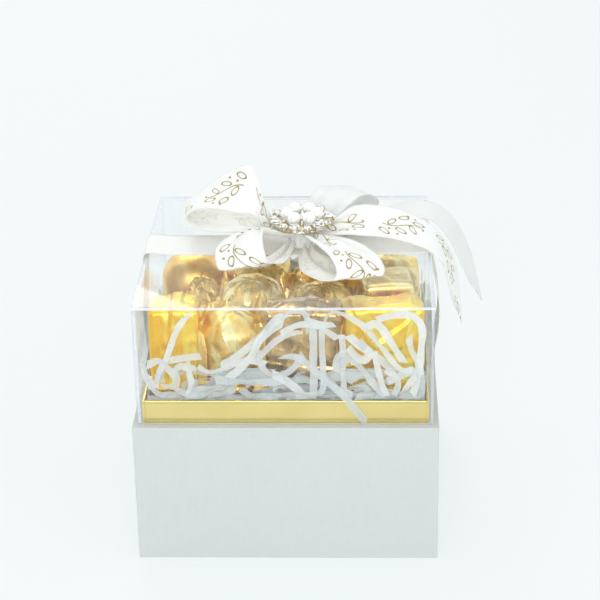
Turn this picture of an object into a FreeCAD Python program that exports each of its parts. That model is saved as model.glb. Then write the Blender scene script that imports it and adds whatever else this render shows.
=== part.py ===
import FreeCAD, Part
import math
import os

# Gift box of foil-wrapped chocolates: a paper-covered board base with a foil neck, a clear
# lift-off lid glued up from flat sheets, a ribbon band with a bow and a pearl brooch.
# Millimetres, +Z up. The origin is the middle of the base's underside, and -Y is the front.

Vector = FreeCAD.Vector

# Base: two layers of board, covered in one sheet of linen paper
base_width = 150.0
base_depth = 150.0
base_height = 74.0
floor_board = 2.5
wall_board = 2.4
liner_board = 2.0
wrap_paper = 0.3
wrap_turn_in = 15.0
lining_paper = 0.2
stay_tape = 0.2
stay_leg = 14.0
stay_start = 8.0
stay_gap = 8.2

# Neck: four foil-faced panels that stand inside the base and locate the lid
neck_board = 1.4
neck_rise = 12.0
neck_edge_radius = 0.4

# Lid: five clear sheets
lid_height = 63.6
lid_sheet = 1.8
lid_play = 0.7
lid_edge_radius = 0.5

# Ribbon band over the lid from side to side
ribbon_width = 25.0
ribbon_thickness = 0.5
band_offset = 3.0
band_end_height = 3.0
band_left_bulge = 1.2
band_right_bulge = 4.2

# Bow: four loops and two tails gathered round a knot on the band
knot_offset = 7.0
knot_radius = 7.5
knot_height = 12.0
knot_round = 1.5
knot_gap = 0.15
gather_width = 6.5
rear_left_reach = 60.0
rear_left_rise = 26.0
front_left_reach = 43.0
front_left_rise = 12.0
front_right_reach = 55.0
front_right_rise = 10.7
rear_right_reach = 50.0
rear_right_rise = 21.0
front_tail_overhang = 14.5
front_tail_rise = 12.5
rear_tail_overhang = 24.5
rear_tail_rise = 7.5
stations_per_span = 3

# Brooch: pearls inside a ring of stones, on a round plate sewn to the knot by a shank
plate_thickness = 0.8
plate_radius = 14.5
plate_edge_radius = 0.3
shank_radius = 2.0
shank_length = 4.5
shank_play = 0.1
stone_pairs = 7
stone_ring_radius = 14.1
large_stone_radius = 2.7
small_stone_radius = 2.0
cup_wall = 0.35
cup_floor = 0.4
pearl_count = 6
pearl_radius = 3.6
pearl_ring_radius = 7.6
pearl_lift = 0.3
peg_radius = 0.6
peg_play = 0.1

# Contents: wrapped chocolates in rows on a bed of shredded paper
lid_headroom = 5.8
bed_gap = 0.3
least_column_pitch = 34.0
least_row_pitch = 32.5
side_room = 17.1
front_room = 22.6
back_room = 15.9
block_width = 24.0
block_depth = 26.0
block_height = 42.0
slab_width = 37.0
slab_depth = 22.0
slab_height = 41.0
cube_side = 27.0
dome_radius = 15.7
dome_height = 38.0
praline_radius = 14.8
praline_height = 30.0
sweet_edge_radius = 2.5
foil_thickness = 0.4

# How far a cutting solid runs past what it cuts, and how near two equal lengths lie
overrun = 1.0
tolerance = 1e-6

# Unit proportions of a cut stone, as shares of its girdle radius
crown_share = 0.35
table_share = 0.6
pavilion_share = 0.75
girdle_share = 0.1

# Each ribbon's stations between its two ends in the knot: x and y as shares of its reach, z as a
# share of its rise, the width's yaw and pitch in degrees, and the width as a share of the full one
rear_left_shares = [
    (-0.25, 0.08, 0.33, 272, -15, 0.36),
    (-0.33, 0.09, 0.54, 272, -62, 0.62),
    (-0.415, 0.13, 1.00, 277, -66, 1.00),
    (-0.56, 0.17, 0.99, 274, -47, 0.97),
    (-0.74, 0.22, 0.88, 272, -18, 0.95),
    (-0.90, 0.26, 0.70, 270, 0, 0.95),
    (-1.00, 0.275, 0.50, 270, 0, 0.95),
    (-0.93, 0.275, 0.33, 267, -4, 0.95),
    (-0.73, 0.23, 0.30, 265, -8, 0.90),
    (-0.48, 0.17, 0.31, 260, -8, 0.78),
    (-0.25, 0.09, 0.22, 265, -4, 0.42),
]
front_left_shares = [
    (-0.30, -0.15, 0.80, -48, 5, 0.45),
    (-0.465, -0.22, 0.96, -35, 12, 0.65),
    (-0.65, -0.36, 1.00, -15, 20, 0.85),
    (-0.71, -0.55, 0.83, -7, 12, 0.97),
    (-0.69, -0.71, 0.50, 2, 7, 1.00),
    (-0.63, -0.78, 0.22, 14, 4, 1.00),
    (-0.48, -0.675, 0.10, 10, 1, 0.92),
    (-0.28, -0.43, 0.11, -5, 2, 0.50),
]
front_right_shares = [
    (0.11, -0.20, 0.84, 24, -4, 0.42),
    (0.18, -0.28, 0.94, 26, -7, 0.63),
    (0.335, -0.455, 1.00, 28, -6, 0.87),
    (0.47, -0.655, 0.91, 20, -6, 0.97),
    (0.54, -0.78, 0.53, 14, -3, 0.97),
    (0.52, -0.85, 0.21, 11, -1, 0.95),
    (0.39, -0.78, 0.08, 19, 0, 0.97),
    (0.19, -0.545, 0.08, 28, 0, 0.87),
    (0.065, -0.29, 0.11, 30, 0, 0.45),
]
rear_right_shares = [
    (0.16, 0.24, 0.42, 147, 12, 0.50),
    (0.215, 0.33, 0.63, 141, 14, 0.76),
    (0.315, 0.42, 0.86, 135, 8, 0.92),
    (0.45, 0.545, 0.88, 128, -4, 0.95),
    (0.575, 0.715, 0.74, 122, -7, 0.97),
    (0.67, 0.81, 0.48, 119, -6, 0.97),
    (0.59, 0.745, 0.27, 121, -6, 0.95),
    (0.365, 0.545, 0.20, 126, -4, 0.88),
    (0.18, 0.29, 0.23, 132, 0, 0.60),
]
front_tail_shares = [
    (0.195, 0.00, 0.72, 90, 10, 0.60),
    (0.33, 0.02, 1.00, 88, 17, 0.95),
    (0.50, 0.01, 1.00, 90, 17, 1.00),
    (0.66, -0.02, 0.82, 90, 16, 0.98),
    (0.80, -0.04, 0.44, 87, 10, 0.98),
    (0.90, -0.04, -0.20, 84, 5, 0.95),
    (0.95, -0.045, -1.00, 78, 0, 0.88),
    (0.98, -0.05, -2.00, 75, -10, 0.75),
    (1.00, -0.07, -2.95, 68, -52, 0.75),
]
rear_tail_shares = [
    (0.16, 0.13, 0.33, 117, 0, 0.45),
    (0.295, 0.245, 0.33, 103, 0, 0.88),
    (0.46, 0.29, 0.60, 97, 0, 0.97),
    (0.615, 0.30, 1.00, 92, 0, 0.97),
    (0.74, 0.305, 0.96, 88, 1, 0.95),
    (0.84, 0.29, 0.00, 83, 5, 0.93),
    (0.91, 0.26, -1.35, 78, 3, 0.87),
    (0.96, 0.225, -2.80, 74, -3, 0.75),
    (1.00, 0.185, -4.50, 57, -49, 0.85),
]

# Where each ribbon leaves the knot: its direction in degrees, then the heights of its first and
# last ends as shares of the knot's height; a tail has only the first
rear_left_root_shares = (154, 0.60, 0.36)
front_left_root_shares = (216, 0.68, 0.26)
front_right_root_shares = (293, 0.66, 0.16)
rear_right_root_shares = (54, 0.68, 0.38)
front_tail_root_shares = (0, 0.60)
rear_tail_root_shares = (45, 0.25)
root_share = 0.85

# The chocolates from the front row back: kind, lean and turn in degrees, how much of the height
# sinks into the bed, and the shift along the row as a share of the least pitch
layout_shares = [
    [("block", 7, 3, 0.10, -0.10), ("dome", 0, 0, 0.06, -0.28),
     ("slab", 6, 0, 0.10, -0.26), ("slab", 9, 6, 0.08, -0.115)],
    [("dome", 0, 0, 0.28, 0.03), ("dome", 0, 0, 0.02, -0.02),
     ("dome", 0, 0, 0.12, 0.00), ("block", 4, 6, 0.10, -0.04)],
    [("dome", 0, 0, 0.02, 0.02), ("dome", 0, 0, 0.08, 0.03),
     ("praline", 0, 0, 0.02, 0.00), ("dome", 0, 0, 0.06, -0.02)],
    [("praline", 0, 0, 0.45, 0.00), ("cube", 0, 6, 0.40, 0.03),
     ("praline", 0, 0, 0.45, -0.03), ("cube", 0, -6, 0.40, 0.00)],
]
crown_round_share = 0.8

# Planes and half widths that follow from the sizes above
half_x = base_width / 2
half_y = base_depth / 2
floor_low = wrap_paper
floor_top = floor_low + floor_board
board_top = base_height - wrap_paper
turn_in_low = base_height - wrap_turn_in
stay_low = floor_top + stay_start
stay_height = turn_in_low - stay_gap - stay_low
board_inset = wrap_paper
liner_inset = board_inset + wall_board
cavity_inset = liner_inset + liner_board
neck_inset = cavity_inset + wrap_paper
inside_inset = neck_inset + neck_board
wrap_radius = 2 * wrap_paper
neck_low = floor_top + lining_paper
neck_top = base_height + neck_rise
lid_inset = neck_inset - lid_play - lid_sheet
lid_x = half_x - lid_inset
lid_y = half_y - lid_inset
lid_top = base_height + lid_height
sheet_low = lid_top - lid_sheet
bow_low = lid_top + ribbon_thickness
knot_centre = Vector(knot_offset, band_offset, bow_low)
knot_top = bow_low + knot_height
plate_top = knot_top + plate_thickness
front_tail_reach = lid_x - knot_offset + front_tail_overhang
rear_tail_reach = lid_x - knot_offset + rear_tail_overhang
bed_top = sheet_low - lid_headroom - block_height


def block(x_half, y_half, z_low, z_high):
    """A box centred on the Z axis."""
    return Part.makeBox(2 * x_half, 2 * y_half, z_high - z_low, Vector(-x_half, -y_half, z_low))


def inset_block(inset, z_low, z_high):
    """A box that stands in from the base's outline by one amount all round."""
    return block(half_x - inset, half_y - inset, z_low, z_high)


def inset_ring(outer, inner, z_low, z_high):
    """A square tube between two insets from the base's outline."""
    return inset_block(outer, z_low, z_high).cut(inset_block(inner, z_low - overrun, z_high + overrun))


def span_box(x_low, x_high, y_low, y_high, z_low, z_high):
    """A box given by its two corners."""
    size = (x_high - x_low, y_high - y_low, z_high - z_low)
    return Part.makeBox(*size, Vector(x_low, y_low, z_low))


def edges_on(shape, test):
    """The shape's edges whose end points all pass a test."""
    return [edge for edge in shape.Edges if all(test(vertex.Point) for vertex in edge.Vertexes)]


def close(value, target):
    """Whether two lengths agree within the modelling tolerance."""
    return abs(value - target) < tolerance


def four_walls(inset, thickness, z_low, z_high, ends_show_on_sides):
    """Four boards in a square; the pair whose ends show runs the full way, the others stand between."""
    x_out, y_out = half_x - inset, half_y - inset
    x_in, y_in = x_out - thickness, y_out - thickness
    x_wall = x_in if ends_show_on_sides else x_out
    y_wall = y_out if ends_show_on_sides else y_in
    return {
        "front": span_box(-x_wall, x_wall, -y_out, -y_in, z_low, z_high),
        "back": span_box(-x_wall, x_wall, y_in, y_out, z_low, z_high),
        "left": span_box(-x_out, -x_in, -y_wall, y_wall, z_low, z_high),
        "right": span_box(x_in, x_out, -y_wall, y_wall, z_low, z_high),
    }


def base_boards():
    """The floor and the two layers of wall board."""
    parts = {"base_floor_board": inset_block(board_inset, floor_low, floor_top)}
    for side, wall in four_walls(board_inset, wall_board, floor_top, board_top, False).items():
        parts["base_" + side + "_board"] = wall
    for side, wall in four_walls(liner_inset, liner_board, floor_top, board_top, True).items():
        parts["liner_" + side + "_board"] = wall
    return parts


def covered_form():
    """The covered base as one block, with its upright corners rounded by the paper."""
    form = block(half_x, half_y, 0, base_height)
    uprights = [edge for edge in form.Edges if close(edge.BoundBox.XLength + edge.BoundBox.YLength, 0)]
    return form.makeFillet(wrap_radius, uprights)


def wrap():
    """The linen paper: outside skin, over the rim and turned in down the inside."""
    under = block(half_x, half_y, -overrun, floor_low)
    boards = inset_block(board_inset, floor_low - overrun, board_top)
    turn_in = inset_ring(cavity_inset, neck_inset, turn_in_low, board_top)
    inside = inset_block(neck_inset, floor_low - overrun, base_height + overrun)
    return covered_form().cut(under).cut(boards.cut(turn_in)).cut(inside)


def bottom_paper():
    """The paper sheet pasted under the floor, which the box stands on."""
    return covered_form().common(block(half_x, half_y, 0, floor_low))


def corner_stays():
    """Four paper tapes that hold the liner's inside corners, under the turned-in paper."""
    x_out, y_out = half_x - cavity_inset, half_y - cavity_inset
    tapes = []
    for sx in (-1, 1):
        for sy in (-1, 1):
            outer = Part.makeBox(stay_leg, stay_leg, stay_height)
            inner = Part.makeBox(stay_leg, stay_leg, stay_height + 2 * overrun,
                                 Vector(stay_tape, stay_tape, -overrun))
            angle = {(-1, -1): 0, (1, -1): 90, (1, 1): 180, (-1, 1): 270}[(sx, sy)]
            tape = outer.cut(inner)
            tape.rotate(Vector(), Vector(0, 0, 1), angle)
            tape.translate(Vector(sx * x_out, sy * y_out, stay_low))
            tapes.append(tape)
    return Part.makeCompound(tapes)


def neck_panels():
    """The foil-faced panels, with their top edges rounded by the foil that folds over them."""
    parts = {}
    for side, wall in four_walls(neck_inset, neck_board, neck_low, neck_top, True).items():
        top = edges_on(wall, lambda p: close(p.z, neck_top))
        long_edges = [edge for edge in top if not close(edge.Length, neck_board)]
        parts["neck_" + side + "_panel"] = wall.makeFillet(neck_edge_radius, long_edges)
    return parts


def lid_panels():
    """Five sheets cut from one block with rounded outer edges: the top lies on the four walls."""
    outer = block(lid_x, lid_y, base_height, lid_top)
    outer = outer.makeFillet(lid_edge_radius, [
        e for e in outer.Edges
        if not all(close(v.Point.z, base_height) for v in e.Vertexes)])
    walls = four_walls(lid_inset, lid_sheet, base_height, sheet_low, False)
    parts = {"lid_" + side + "_panel": outer.common(wall) for side, wall in walls.items()}
    parts["lid_top_panel"] = outer.common(block(lid_x, lid_y, sheet_low, lid_top))
    return parts


def ribbon_band():
    """The flat band: over the lid and down both sides, bowed off the side sheets."""
    low, high = base_height + band_end_height, lid_top - lid_edge_radius
    middle = (low + high) / 2

    def outline(out):
        """The band's edge on the left, top and right, a set distance off the lid."""
        x, z = lid_x + out, lid_top + out
        bend = lid_x - lid_edge_radius
        turn = (lid_edge_radius + out) * math.sqrt(0.5)
        return [
            Part.Arc(Vector(-x, 0, low), Vector(-x - band_left_bulge, 0, middle), Vector(-x, 0, high)),
            Part.Arc(Vector(-x, 0, high), Vector(-bend - turn, 0, high + turn), Vector(-bend, 0, z)),
            Part.LineSegment(Vector(-bend, 0, z), Vector(bend, 0, z)),
            Part.Arc(Vector(bend, 0, z), Vector(bend + turn, 0, high + turn), Vector(x, 0, high)),
            Part.Arc(Vector(x, 0, high), Vector(x + band_right_bulge, 0, middle), Vector(x, 0, low)),
        ]

    inside, outside = outline(0), outline(ribbon_thickness)
    out_x = lid_x + ribbon_thickness
    ends = [Part.LineSegment(Vector(s * lid_x, 0, low), Vector(s * out_x, 0, low)) for s in (-1, 1)]
    edges = [curve.toShape() for curve in inside + outside + ends]
    face = Part.Face(Part.Wire(Part.__sortEdges__(edges)))
    band = face.extrude(Vector(0, ribbon_width, 0))
    band.translate(Vector(0, band_offset - ribbon_width / 2, 0))
    return band


def smooth(points, per_span):
    """Points on a smooth curve through the given ones, with a set number in each span."""
    padded = [points[0] * 2 - points[1]] + points + [points[-1] * 2 - points[-2]]
    curve = []
    for a, b, c, d in zip(padded, padded[1:], padded[2:], padded[3:]):
        for step in range(per_span):
            t = step / per_span
            curve.append((b * 2 + (c - a) * t + (a * 2 - b * 5 + c * 4 - d) * t ** 2
                          + (b * 3 - a - c * 3 + d) * t ** 3) * 0.5)
    return curve + [points[-1]]


def heading(yaw, pitch):
    """The unit vector at a yaw from +X and a pitch above level, in degrees."""
    yaw, pitch = math.radians(yaw), math.radians(pitch)
    return Vector(math.cos(pitch) * math.cos(yaw), math.cos(pitch) * math.sin(yaw), math.sin(pitch))


def ribbon(reach, rise, shares, root_shares):
    """A strip of ribbon from the knot, through its stations, and back to the knot if it is a loop."""
    direction = root_shares[0]
    roots = [heading(direction, 0) * (knot_radius * root_share) + Vector(0, 0, knot_height * height)
             for height in root_shares[1:]]
    gathered = heading(direction + 90, 0) * gather_width
    middles = [Vector(x * reach, y * reach, z * rise) for x, y, z, *_ in shares]
    widths = [heading(yaw, pitch) * (share * ribbon_width) for *_, yaw, pitch, share in shares]
    middles = smooth(roots[:1] + middles + roots[1:], stations_per_span)
    widths = smooth([gathered] + widths + [gathered] * len(roots[1:]), stations_per_span)
    sections = []
    for i, (middle, width) in enumerate(zip(middles, widths)):
        along = middles[min(i + 1, len(middles) - 1)] - middles[max(i - 1, 0)]
        normal = along.cross(width).normalize() * (ribbon_thickness / 2)
        corners = [middle + width * 0.5 + normal, middle - width * 0.5 + normal,
                   middle - width * 0.5 - normal, middle + width * 0.5 - normal]
        sections.append(Part.makePolygon(corners + corners[:1]))
    strip = Part.makeLoft(sections, True, False)
    strip.translate(knot_centre)
    clear = Part.makeCylinder(knot_radius + knot_gap, knot_height + 2 * overrun,
                              knot_centre - Vector(0, 0, overrun))
    return strip.cut(clear)


def bow():
    """The four loops and the two tails."""
    return {
        "bow_loop_rear_left": ribbon(
            rear_left_reach, rear_left_rise, rear_left_shares, rear_left_root_shares),
        "bow_loop_front_left": ribbon(
            front_left_reach, front_left_rise, front_left_shares, front_left_root_shares),
        "bow_loop_front_right": ribbon(
            front_right_reach, front_right_rise, front_right_shares, front_right_root_shares),
        "bow_loop_rear_right": ribbon(
            rear_right_reach, rear_right_rise, rear_right_shares, rear_right_root_shares),
        "bow_tail_front": ribbon(
            front_tail_reach, front_tail_rise, front_tail_shares, front_tail_root_shares),
        "bow_tail_rear": ribbon(
            rear_tail_reach, rear_tail_rise, rear_tail_shares, rear_tail_root_shares),
    }


def knot():
    """The gathered middle of the bow, with a hole for the brooch's shank."""
    drum = Part.makeCylinder(knot_radius, knot_height, knot_centre)
    drum = drum.makeFillet(knot_round, edges_on(drum, lambda p: close(p.z, knot_top)))
    hole = Part.makeCylinder(shank_radius + shank_play, shank_length + shank_play + overrun,
                             Vector(knot_offset, band_offset, knot_top - shank_length - shank_play))
    return drum.cut(hole)


def stone(radius):
    """A cut stone with its girdle's lower edge at the origin."""
    crown = radius * (girdle_share + crown_share)
    outline = [Vector(0, 0, -radius * pavilion_share), Vector(radius, 0, 0),
               Vector(radius, 0, radius * girdle_share), Vector(radius * table_share, 0, crown),
               Vector(0, 0, crown)]
    face = Part.Face(Part.makePolygon(outline + outline[:1]))
    return face.revolve(Vector(), Vector(0, 0, 1), 360)


def set_stone(radius, place):
    """A stone and the cup that holds it, with the cup standing at a place on the plate."""
    height = radius * pavilion_share + cup_floor
    gem = stone(radius)
    gem.translate(place + Vector(0, 0, height))
    cup = Part.makeCylinder(radius + cup_wall, height, place).cut(gem)
    return gem, cup


def around(radius, share):
    """A place on top of the brooch's plate, a share of a turn round from +X."""
    angle = 2 * math.pi * share
    return Vector(knot_offset + radius * math.cos(angle), band_offset + radius * math.sin(angle), plate_top)


def brooch():
    """The plate, its shank, the stones in their cups and the pearls on their pegs."""
    plate = Part.makeCylinder(plate_radius, plate_thickness, Vector(knot_offset, band_offset, knot_top))
    plate = plate.makeFillet(plate_edge_radius, edges_on(plate, lambda p: close(p.z, plate_top)))
    shank = Part.makeCylinder(shank_radius, shank_length,
                              Vector(knot_offset, band_offset, knot_top - shank_length))
    count = 2 * stone_pairs
    ring = [around(stone_ring_radius, i / count) for i in range(count)]
    large = [set_stone(large_stone_radius, place) for place in ring[0::2] + [around(0, 0)]]
    small = [set_stone(small_stone_radius, place) for place in ring[1::2]]
    pearls, pegs = [], []
    for i in range(pearl_count):
        foot = around(pearl_ring_radius, i / pearl_count)
        middle = foot + Vector(0, 0, pearl_lift + pearl_radius)
        hole = Part.makeCylinder(peg_radius + peg_play, pearl_radius + pearl_lift + peg_play, foot)
        pearls.append(Part.makeSphere(pearl_radius, middle).cut(hole))
        pegs.append(Part.makeCylinder(peg_radius, pearl_radius + pearl_lift, foot))
    return {
        "brooch_plate": plate,
        "brooch_shank": shank,
        "brooch_cups": Part.makeCompound([cup for _, cup in large + small]),
        "brooch_large_stones": Part.makeCompound([gem for gem, _ in large]),
        "brooch_small_stones": Part.makeCompound([gem for gem, _ in small]),
        "brooch_pearls": Part.makeCompound(pearls),
        "brooch_pegs": Part.makeCompound(pegs),
    }


def brick(width, depth, height, radius):
    """A box on the origin with all its edges rounded."""
    solid = Part.makeBox(width, depth, height, Vector(-width / 2, -depth / 2, 0))
    return solid.makeFillet(radius, solid.Edges)


def bonbon(radius, height, round_radius):
    """An upright drum on the origin with a domed top and a rounded foot."""
    drum = Part.makeCylinder(radius, height)
    crown = edges_on(drum, lambda p: close(p.z, height) and not close(p.x, 0))
    drum = drum.makeFillet(radius * crown_round_share, crown)
    return drum.makeFillet(round_radius, edges_on(drum, lambda p: close(p.z, 0) and not close(p.x, 0)))


def sweet(kind, growth):
    """One chocolate on the origin, its skin moved out by a growth, and its height at no growth."""
    edge = sweet_edge_radius + growth
    if kind == "block":
        solid = brick(block_width + 2 * growth, block_depth + 2 * growth, block_height + 2 * growth, edge)
        height = block_height
    elif kind == "slab":
        solid = brick(slab_width + 2 * growth, slab_depth + 2 * growth, slab_height + 2 * growth, edge)
        height = slab_height
    elif kind == "cube":
        solid = brick(cube_side + 2 * growth, cube_side + 2 * growth, cube_side + 2 * growth, edge)
        height = cube_side
    elif kind == "dome":
        solid = bonbon(dome_radius + growth, dome_height + 2 * growth, edge)
        height = dome_height
    else:
        solid = bonbon(praline_radius + growth, praline_height + 2 * growth, edge)
        height = praline_height
    solid.translate(Vector(0, 0, -growth))
    return solid, height


def cell_middles(low, high, least_pitch):
    """Evenly spaced middles, from a low one to a high one, of as many chocolates as fit between."""
    spans = max(1, int((high - low) // least_pitch))
    return [low + (high - low) * i / spans for i in range(spans + 1)]


def contents():
    """The wrapped chocolates, their cores, and the bed of shredded paper that they sink into."""
    inside_x, inside_y = half_x - inside_inset, half_y - inside_inset
    bed = inset_block(inside_inset + bed_gap, neck_low + bed_gap, bed_top)
    parts, cores = {}, []
    rows = cell_middles(front_room - inside_y, inside_y - back_room, least_row_pitch)
    columns = cell_middles(side_room - inside_x, inside_x - side_room, least_column_pitch)
    for row, y in enumerate(rows):
        line = layout_shares[row % len(layout_shares)]
        for column, middle in enumerate(columns):
            kind, lean, turn, sink_share, shift_share = line[column % len(line)]
            x = middle + shift_share * least_column_pitch
            solids = [sweet(kind, growth)[0] for growth in (0, -foil_thickness, bed_gap)]
            for solid in solids:
                solid.rotate(Vector(), Vector(1, 0, 0), -lean)
                solid.rotate(Vector(), Vector(0, 0, 1), turn)
            box = solids[0].BoundBox
            low = bed_top - sink_share * sweet(kind, 0)[1]
            for solid in solids:
                solid.translate(Vector(x - box.Center.x, y - box.Center.y, low - box.ZMin))
            whole, core, pocket = solids
            cores.append(core)
            parts["foil_chocolate_%02d" % len(cores)] = whole.cut(core)
            bed = bed.cut(pocket)
    parts["chocolate_cores"] = Part.makeCompound(cores)
    parts["shred_bed"] = bed
    return parts


def build():
    """Every sub-part by name."""
    parts = base_boards()
    parts["base_wrap_paper"] = wrap()
    parts["base_bottom_paper"] = bottom_paper()
    parts["floor_lining_paper"] = inset_block(cavity_inset, floor_top, neck_low)
    parts["corner_stay_tapes"] = corner_stays()
    parts.update(neck_panels())
    parts.update(contents())
    parts.update(lid_panels())
    parts["ribbon_band"] = ribbon_band()
    parts.update(bow())
    parts["bow_knot"] = knot()
    parts.update(brooch())
    return parts


os.makedirs("parts", exist_ok=True)
for name, shape in build().items():
    shape.exportStep("parts/" + name + ".step")
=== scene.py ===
"""Looks of a gift box of foil-wrapped chocolates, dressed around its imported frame.

The base is board under linen paper with a gold neck, and the lid is clear sheet with a printed
ribbon, a bow and a pearl brooch. Lengths are written in millimetres and the meshes are in metres.
"""

import logging
import math
from dataclasses import dataclass
from enum import Enum
from typing import Optional, Sequence, Union

import bpy
import numpy as np
from mathutils import Matrix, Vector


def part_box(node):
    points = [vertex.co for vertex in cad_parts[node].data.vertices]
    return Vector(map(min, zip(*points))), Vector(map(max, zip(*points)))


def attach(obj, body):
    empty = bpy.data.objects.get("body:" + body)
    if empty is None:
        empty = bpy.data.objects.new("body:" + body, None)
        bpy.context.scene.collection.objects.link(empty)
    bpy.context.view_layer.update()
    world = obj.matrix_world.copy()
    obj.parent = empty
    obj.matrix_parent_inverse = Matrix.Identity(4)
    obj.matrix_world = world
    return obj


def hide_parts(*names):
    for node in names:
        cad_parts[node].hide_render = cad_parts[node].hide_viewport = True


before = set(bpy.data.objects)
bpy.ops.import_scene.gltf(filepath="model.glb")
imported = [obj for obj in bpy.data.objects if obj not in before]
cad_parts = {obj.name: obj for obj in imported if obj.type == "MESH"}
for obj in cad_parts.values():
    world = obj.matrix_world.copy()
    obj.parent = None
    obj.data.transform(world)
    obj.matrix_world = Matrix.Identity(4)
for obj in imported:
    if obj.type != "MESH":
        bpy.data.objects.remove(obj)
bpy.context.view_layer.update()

LOG = logging.getLogger("gift_box")
MM = 0.001
NOISE_SPAN = (0.3, 0.7)
CHOCOLATE = "foil_chocolate_%02d"
FORWARD = np.array([0, -1.0, 0])

Array = np.ndarray
Colour = tuple[float, float, float, float]
Pair = tuple[float, float]
Socket = bpy.types.NodeSocket
Feed = Union[Socket, float, Colour, Sequence[float]]


def grid_quads(rows: int, columns: int, wrap: bool = False, start: int = 0) -> Array:
    """Quads of a row-major grid.

    Args:
        rows: Points along the first parameter.
        columns: Points along the second parameter.
        wrap: Whether the last column joins the first.
        start: Index of the grid's first point.
    Returns:
        One row of four point indices for each quad.
    """
    i, j = np.meshgrid(np.arange(rows - 1), np.arange(columns if wrap else columns - 1), indexing="ij")
    after = (j + 1) % columns
    quads = [i * columns + j, i * columns + after, (i + 1) * columns + after, (i + 1) * columns + j]
    return np.stack(quads, -1).reshape(-1, 4) + start


def unit(vectors: Array) -> Array:
    """Vectors scaled to a length of one."""
    return vectors / np.maximum(np.linalg.norm(vectors, axis=-1, keepdims=True), 1e-12)


def smooth_rows(keys: Array, per_span: int) -> Array:
    """A Catmull-Rom curve: each span is a cubic whose end slopes are half the step between neighbours.

    Args:
        keys: Rows that the curve passes through.
        per_span: Rows made for each span.
    Returns:
        The rows along the curve, the last key included.
    """
    padded = np.vstack([2 * keys[0] - keys[1], keys, 2 * keys[-1] - keys[-2]])
    a, b, c, d = (padded[i:i + len(keys) - 1, None, :] for i in range(4))
    t = (np.arange(per_span) / per_span)[None, :, None]
    square = 2 * a - 5 * b + 4 * c - d
    cube = 3 * b - a - 3 * c + d
    curve = (2 * b + (c - a) * t + square * t ** 2 + cube * t ** 3) / 2
    return np.vstack([curve.reshape(-1, keys.shape[1]), keys[-1:]])


def grid_normals(points: Array) -> Array:
    """Unit normals of a grid: the cross product of its two directions of travel."""
    return unit(np.cross(np.gradient(points, axis=0), np.gradient(points, axis=1)))


def path_length(points: Array) -> Array:
    """Length travelled along a path at each of its points."""
    steps = np.linalg.norm(np.diff(points, axis=0), axis=1)
    return np.concatenate([[0.0], np.cumsum(steps)])


def heading(yaw: Union[Array, float], pitch: Union[Array, float]) -> Array:
    """Unit vectors at yaws from +X and pitches above level, in degrees."""
    yaw, pitch = np.radians(yaw), np.radians(pitch)
    return np.stack([np.cos(pitch) * np.cos(yaw), np.cos(pitch) * np.sin(yaw), np.sin(pitch)], -1)


def even_steps(path: Array, count: int) -> tuple[Array, Array]:
    """Evenly spaced places along a path: how far along each lies, and the points there.

    Args:
        path: Points of the path.
        count: How many places there are.
    Returns:
        The lengths, and the points.
    """
    length = path_length(path)
    even = np.linspace(0, length[-1], count)
    return even, np.stack([np.interp(even, length, column) for column in path.T], -1)


def triangle(phase: Array) -> Array:
    """A wave of straight ramps: 1 at each whole number, 0 half way between."""
    return np.abs((phase % 1) * 2 - 1)


def node_box(node: str) -> tuple[Array, Array]:
    """A node's lowest and highest corners, in millimetres."""
    low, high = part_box(node)
    return np.array(low) / MM, np.array(high) / MM


@dataclass
class Form:
    """Points and faces of a closed surface, with what its finish reads from it."""

    points: Array
    faces: list
    uv: Optional[Array] = None
    values: Optional[dict[str, Array]] = None
    face_values: Optional[dict[str, Array]] = None

    def outward(self) -> "Form":
        """The same form with its faces turned so that its signed volume is positive."""
        corners = np.array([(face[0], face[1], face[2]) for face in self.faces]
                           + [(face[0], face[2], face[3]) for face in self.faces if len(face) == 4])
        a, b, c = (self.points[corners[:, k]] for k in range(3))
        if float((a * np.cross(b, c)).sum()) < 0:
            self.faces = [face[::-1] for face in self.faces]
        return self


def capped_tube(rings: Array) -> Form:
    """A profile carried along a path: rings joined by quads, with a fan to the middle of each end.

    Args:
        rings: Array of rings x points x 3; a ring closes on itself.
    Returns:
        The closed form.
    """
    rows, columns, _ = rings.shape
    points = np.vstack([rings.reshape(-1, 3), rings[0].mean(0), rings[-1].mean(0)])
    j = np.arange(columns)
    after = (j + 1) % columns
    count = rows * columns
    last = count - columns
    low = np.stack([np.full(columns, count), after, j], -1)
    high = np.stack([np.full(columns, count + 1), last + j, last + after], -1)
    faces = grid_quads(rows, columns, wrap=True).tolist() + low.tolist() + high.tolist()
    return Form(points, faces).outward()


def two_layers(upper: Array, lower: Array, uv: Optional[Array] = None) -> Form:
    """A closed sheet: two grids of one size, joined by quads round their rim.

    Args:
        upper: Grid of the upper face.
        lower: Grid of the lower face.
        uv: Flat place of each grid point, the same on both faces.
    Returns:
        The closed form, with the value "upper" at 1 on the upper face.
    """
    rows, columns, _ = upper.shape
    count = rows * columns
    index = np.arange(count).reshape(rows, columns)
    rim = np.concatenate([index[0], index[1:, -1], index[-1, -2::-1], index[-2:0:-1, 0]])
    after = np.roll(rim, -1)
    edge = np.stack([rim, rim + count, after + count, after], -1)
    faces = np.vstack([grid_quads(rows, columns), grid_quads(rows, columns, start=count)[:, ::-1], edge])
    points = np.vstack([upper.reshape(-1, 3), lower.reshape(-1, 3)])
    side = np.concatenate([np.ones(count), np.zeros(count)])
    flat = None if uv is None else np.vstack([uv.reshape(-1, 2)] * 2)
    return Form(points, faces.tolist(), flat, {"upper": side}).outward()


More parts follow.
